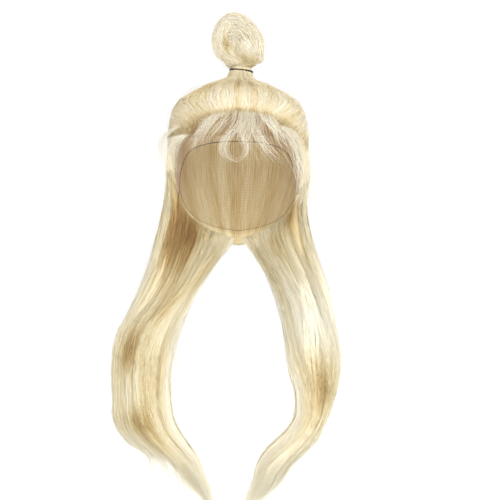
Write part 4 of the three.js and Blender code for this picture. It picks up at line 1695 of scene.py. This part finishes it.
def geodesic(frequency):
    """Directions and triangles of a ball of even triangles."""
    gold = (1 + math.sqrt(5)) / 2
    corners = []
    for a in (-1, 1):
        for b in (-gold, gold):
            corners += [(0, a, b), (a, b, 0), (b, 0, a)]
    corners = np.array(corners)
    edge = math.dist((0, 1, gold), (0, -1, gold))
    points, triangles, numbers = [], [], {}

    def number(point):
        key = tuple(np.round(point / np.linalg.norm(point), 6))
        if key not in numbers:
            numbers[key] = len(points)
            points.append(point / np.linalg.norm(point))
        return numbers[key]

    for three in itertools.combinations(range(len(corners)), 3):
        a, b, c = corners[list(three)]
        if not all(math.isclose(math.dist(*pair), edge) for pair in ((a, b), (b, c), (a, c))):
            continue
        if np.dot(np.cross(b - a, c - a), a) < 0:
            b, c = c, b
        rows = [
            [number(a + (b - a) * (r - s) / frequency + (c - a) * s / frequency) for s in range(r + 1)]
            for r in range(frequency + 1)
        ]
        for r in range(frequency):
            for s in range(r + 1):
                triangles.append((rows[r][s], rows[r + 1][s], rows[r + 1][s + 1]))
                if s < r:
                    triangles.append((rows[r][s], rows[r + 1][s + 1], rows[r][s + 1]))
    return np.array(points), np.array(triangles)


def net_base(frequency):
    """Even triangles on the cap, down to its edge."""
    ways, triangles = geodesic(frequency)
    polar = np.degrees(np.arccos(np.clip(ways[:, 2], -1, 1)))
    azimuth = np.degrees(np.arctan2(ways[:, 0], -ways[:, 1]))
    limit = cap_polar(azimuth)
    inside = polar < limit + NET_MARGIN
    polar = np.minimum(polar, limit)
    kept = triangles[inside[triangles].all(1)]
    used = np.unique(kept)
    number = np.full(len(ways), -1)
    number[used] = np.arange(len(used))
    points = head_point(azimuth[used], polar[used], NET_LIFT) * MM
    mesh = bpy.data.meshes.new("net_base")
    mesh.from_pydata(points.tolist(), [], number[kept].tolist())
    mesh.update()
    return mesh


class WIG_OT_lace_cap(bpy.types.Operator):
    """Net of the lace cap, and the cord along its edge"""

    bl_idname = "wig.lace_cap"
    bl_label = "Lace Cap"

    def execute(self, context):
        lace = context.scene.wig_lace
        net = grow(
            "lace_net",
            net_base(lace.frequency),
            tree_named("Wig Net", net_tree),
            Thread=lace.thread_width / 2,
            Sides=NET_SIDES,
            Material=thread_material("lace_thread", lace.thread, LACE_FIBRE),
        )
        finish_piece(net, ("lace_cap",))
        azimuth = np.linspace(-180, 180, EDGE_POINTS)[None]
        points = head_point(azimuth, cap_polar(azimuth), NET_LIFT)
        radius = lace.edge_width / MM / 2 * mix(1, 0.35, smooth(50, 75, fold(azimuth)))
        cord = (points, radius, TINTS["cord"], (azimuth + 180) / 360)
        material = thread_material("lace_edge_thread", lace.edge, LACE_FIBRE)
        finish_piece(grow_strands("lace_edge", cord, material, CORD_SIDES), ())
        return {"FINISHED"}


class WIG_OT_hair_tie(bpy.types.Operator):
    """Dark elastic tie: a cord with threads laid round it"""

    bl_idname = "wig.hair_tie"
    bl_label = "Hair Tie"

    def execute(self, context):
        tie = context.scene.wig_tie
        turn = np.linspace(0, 2 * np.pi, TIE_POINTS)[None]
        lay = np.arange(tie.threads)[:, None] * 2 * np.pi / tie.threads
        twist = lay + tie.turns * turn
        cord = TIE["cord"] * 0.86
        rows = [(np.zeros_like(turn), np.zeros_like(turn), np.full_like(turn, cord))]
        rows.append((np.cos(twist) * cord, np.sin(twist) * cord, np.full(twist.shape, TIE_THREAD)))
        out, up, radius = stacked(rows)
        ring = TIE["radius"] + out
        points = np.stack([ring * np.cos(turn), ring * np.sin(turn), up], -1)
        tilt = math.radians(TIE["tilt"])
        x = points[..., 0] * math.cos(tilt) + points[..., 2] * math.sin(tilt)
        z = points[..., 2] * math.cos(tilt) - points[..., 0] * math.sin(tilt)
        points = np.stack([x + TIE["x"], points[..., 1] + TIE["y"], z + TIE["z"]], -1)
        threads = (points, radius, TINTS["cord"], turn / (2 * np.pi))
        material = thread_material("elastic_thread", tie.colour, ELASTIC_FIBRE)
        piece = grow_strands("hair_tie_elastic", threads, material, CORD_SIDES)
        finish_piece(piece, ("hair_tie",))
        return {"FINISHED"}


def soft_light(name, where, towards, size, power):
    """A round area light at a place, turned towards another."""
    light = bpy.data.lights.new(name, "AREA")
    light.shape = "DISK"
    light.size = size
    light.energy = power
    lamp = place(name, light)
    lamp.location = where
    reach = np.array(towards) - np.array(where)
    lamp.rotation_euler = (
        math.atan2(math.hypot(reach[0], reach[1]), -reach[2]),
        0,
        math.atan2(reach[1], reach[0]) - math.pi / 2,
    )


class WIG_OT_stage(bpy.types.Operator):
    """Plain pale floor, soft light and the camera"""

    bl_idname = "wig.stage"
    bl_label = "Stage"

    def execute(self, context):
        scene = context.scene
        stage = scene.wig_stage
        low = CAD_BOX[0][2] - stage.floor_gap
        turn = np.linspace(0, 2 * np.pi, FLOOR_SIDES + 1)[:-1]
        rim = [(FLOOR_RADIUS * math.cos(a), FLOOR_RADIUS * math.sin(a), low) for a in turn]
        mesh = bpy.data.meshes.new("floor")
        mesh.from_pydata(rim, [], [tuple(range(len(rim)))])
        floor = place("floor", mesh)
        material, tree, shader = new_material("pale_floor")
        look = {
            "Base Color": (*stage.floor, 1),
            "Roughness": 0.9,
            "Emission Color": WHITE,
            "Emission Strength": 0.05,
        }
        feed(tree, shader, look)
        mesh.materials.append(material)
        world = bpy.data.worlds.new("studio")
        world.use_nodes = True
        sky = world.node_tree.nodes["Background"]
        feed(world.node_tree, sky, {"Color": WHITE, "Strength": 1.0})
        scene.world = world
        for light in LIGHTS:
            soft_light(**light)
        camera = bpy.data.cameras.new("camera")
        camera.sensor_width = 36
        camera.lens = camera.sensor_width * abs(stage.camera[1]) / stage.view_width
        view = place("camera", camera)
        view.location = stage.camera
        view.rotation_euler = (math.pi / 2, 0, 0)
        scene.camera = view
        scene.view_settings.view_transform = "Standard"
        return {"FINISHED"}


PIECES = (
    WIG_OT_lace_cap,
    WIG_OT_crown_hair,
    WIG_OT_back_hair,
    WIG_OT_lengths,
    WIG_OT_top_knot,
    WIG_OT_hair_tie,
    WIG_OT_temple_locks,
    WIG_OT_fringe,
    WIG_OT_stage,
)


class WIG_PT_panel(bpy.types.Panel):
    """Operators and values of the wig"""

    bl_idname = "WIG_PT_panel"
    bl_label = "Full Lace Wig"
    bl_space_type = "VIEW_3D"
    bl_region_type = "UI"
    bl_category = "Wig"

    def draw(self, context):
        for group in GROUPS.values():
            values = getattr(context.scene, group)
            for name in values.bl_rna.properties.keys():
                if name not in ("rna_type", "name"):
                    self.layout.prop(values, name)
        for piece in PIECES:
            self.layout.operator(piece.bl_idname)


GROUPS = {WigHair: "wig_hair", WigLace: "wig_lace", WigTie: "wig_tie", WigStage: "wig_stage"}
CLASSES = (*GROUPS, *PIECES, WIG_PT_panel)


def register():
    for cls in CLASSES:
        bpy.utils.register_class(cls)
    for group, name in GROUPS.items():
        setattr(bpy.types.Scene, name, PointerProperty(type=group))


def unregister():
    for name in GROUPS.values():
        delattr(bpy.types.Scene, name)
    for cls in reversed(CLASSES):
        bpy.utils.unregister_class(cls)


def main():
    register()
    for piece in PIECES:
        family, action = piece.bl_idname.split(".")
        getattr(getattr(bpy.ops, family), action)()


if __name__ == "__main__":
    main()
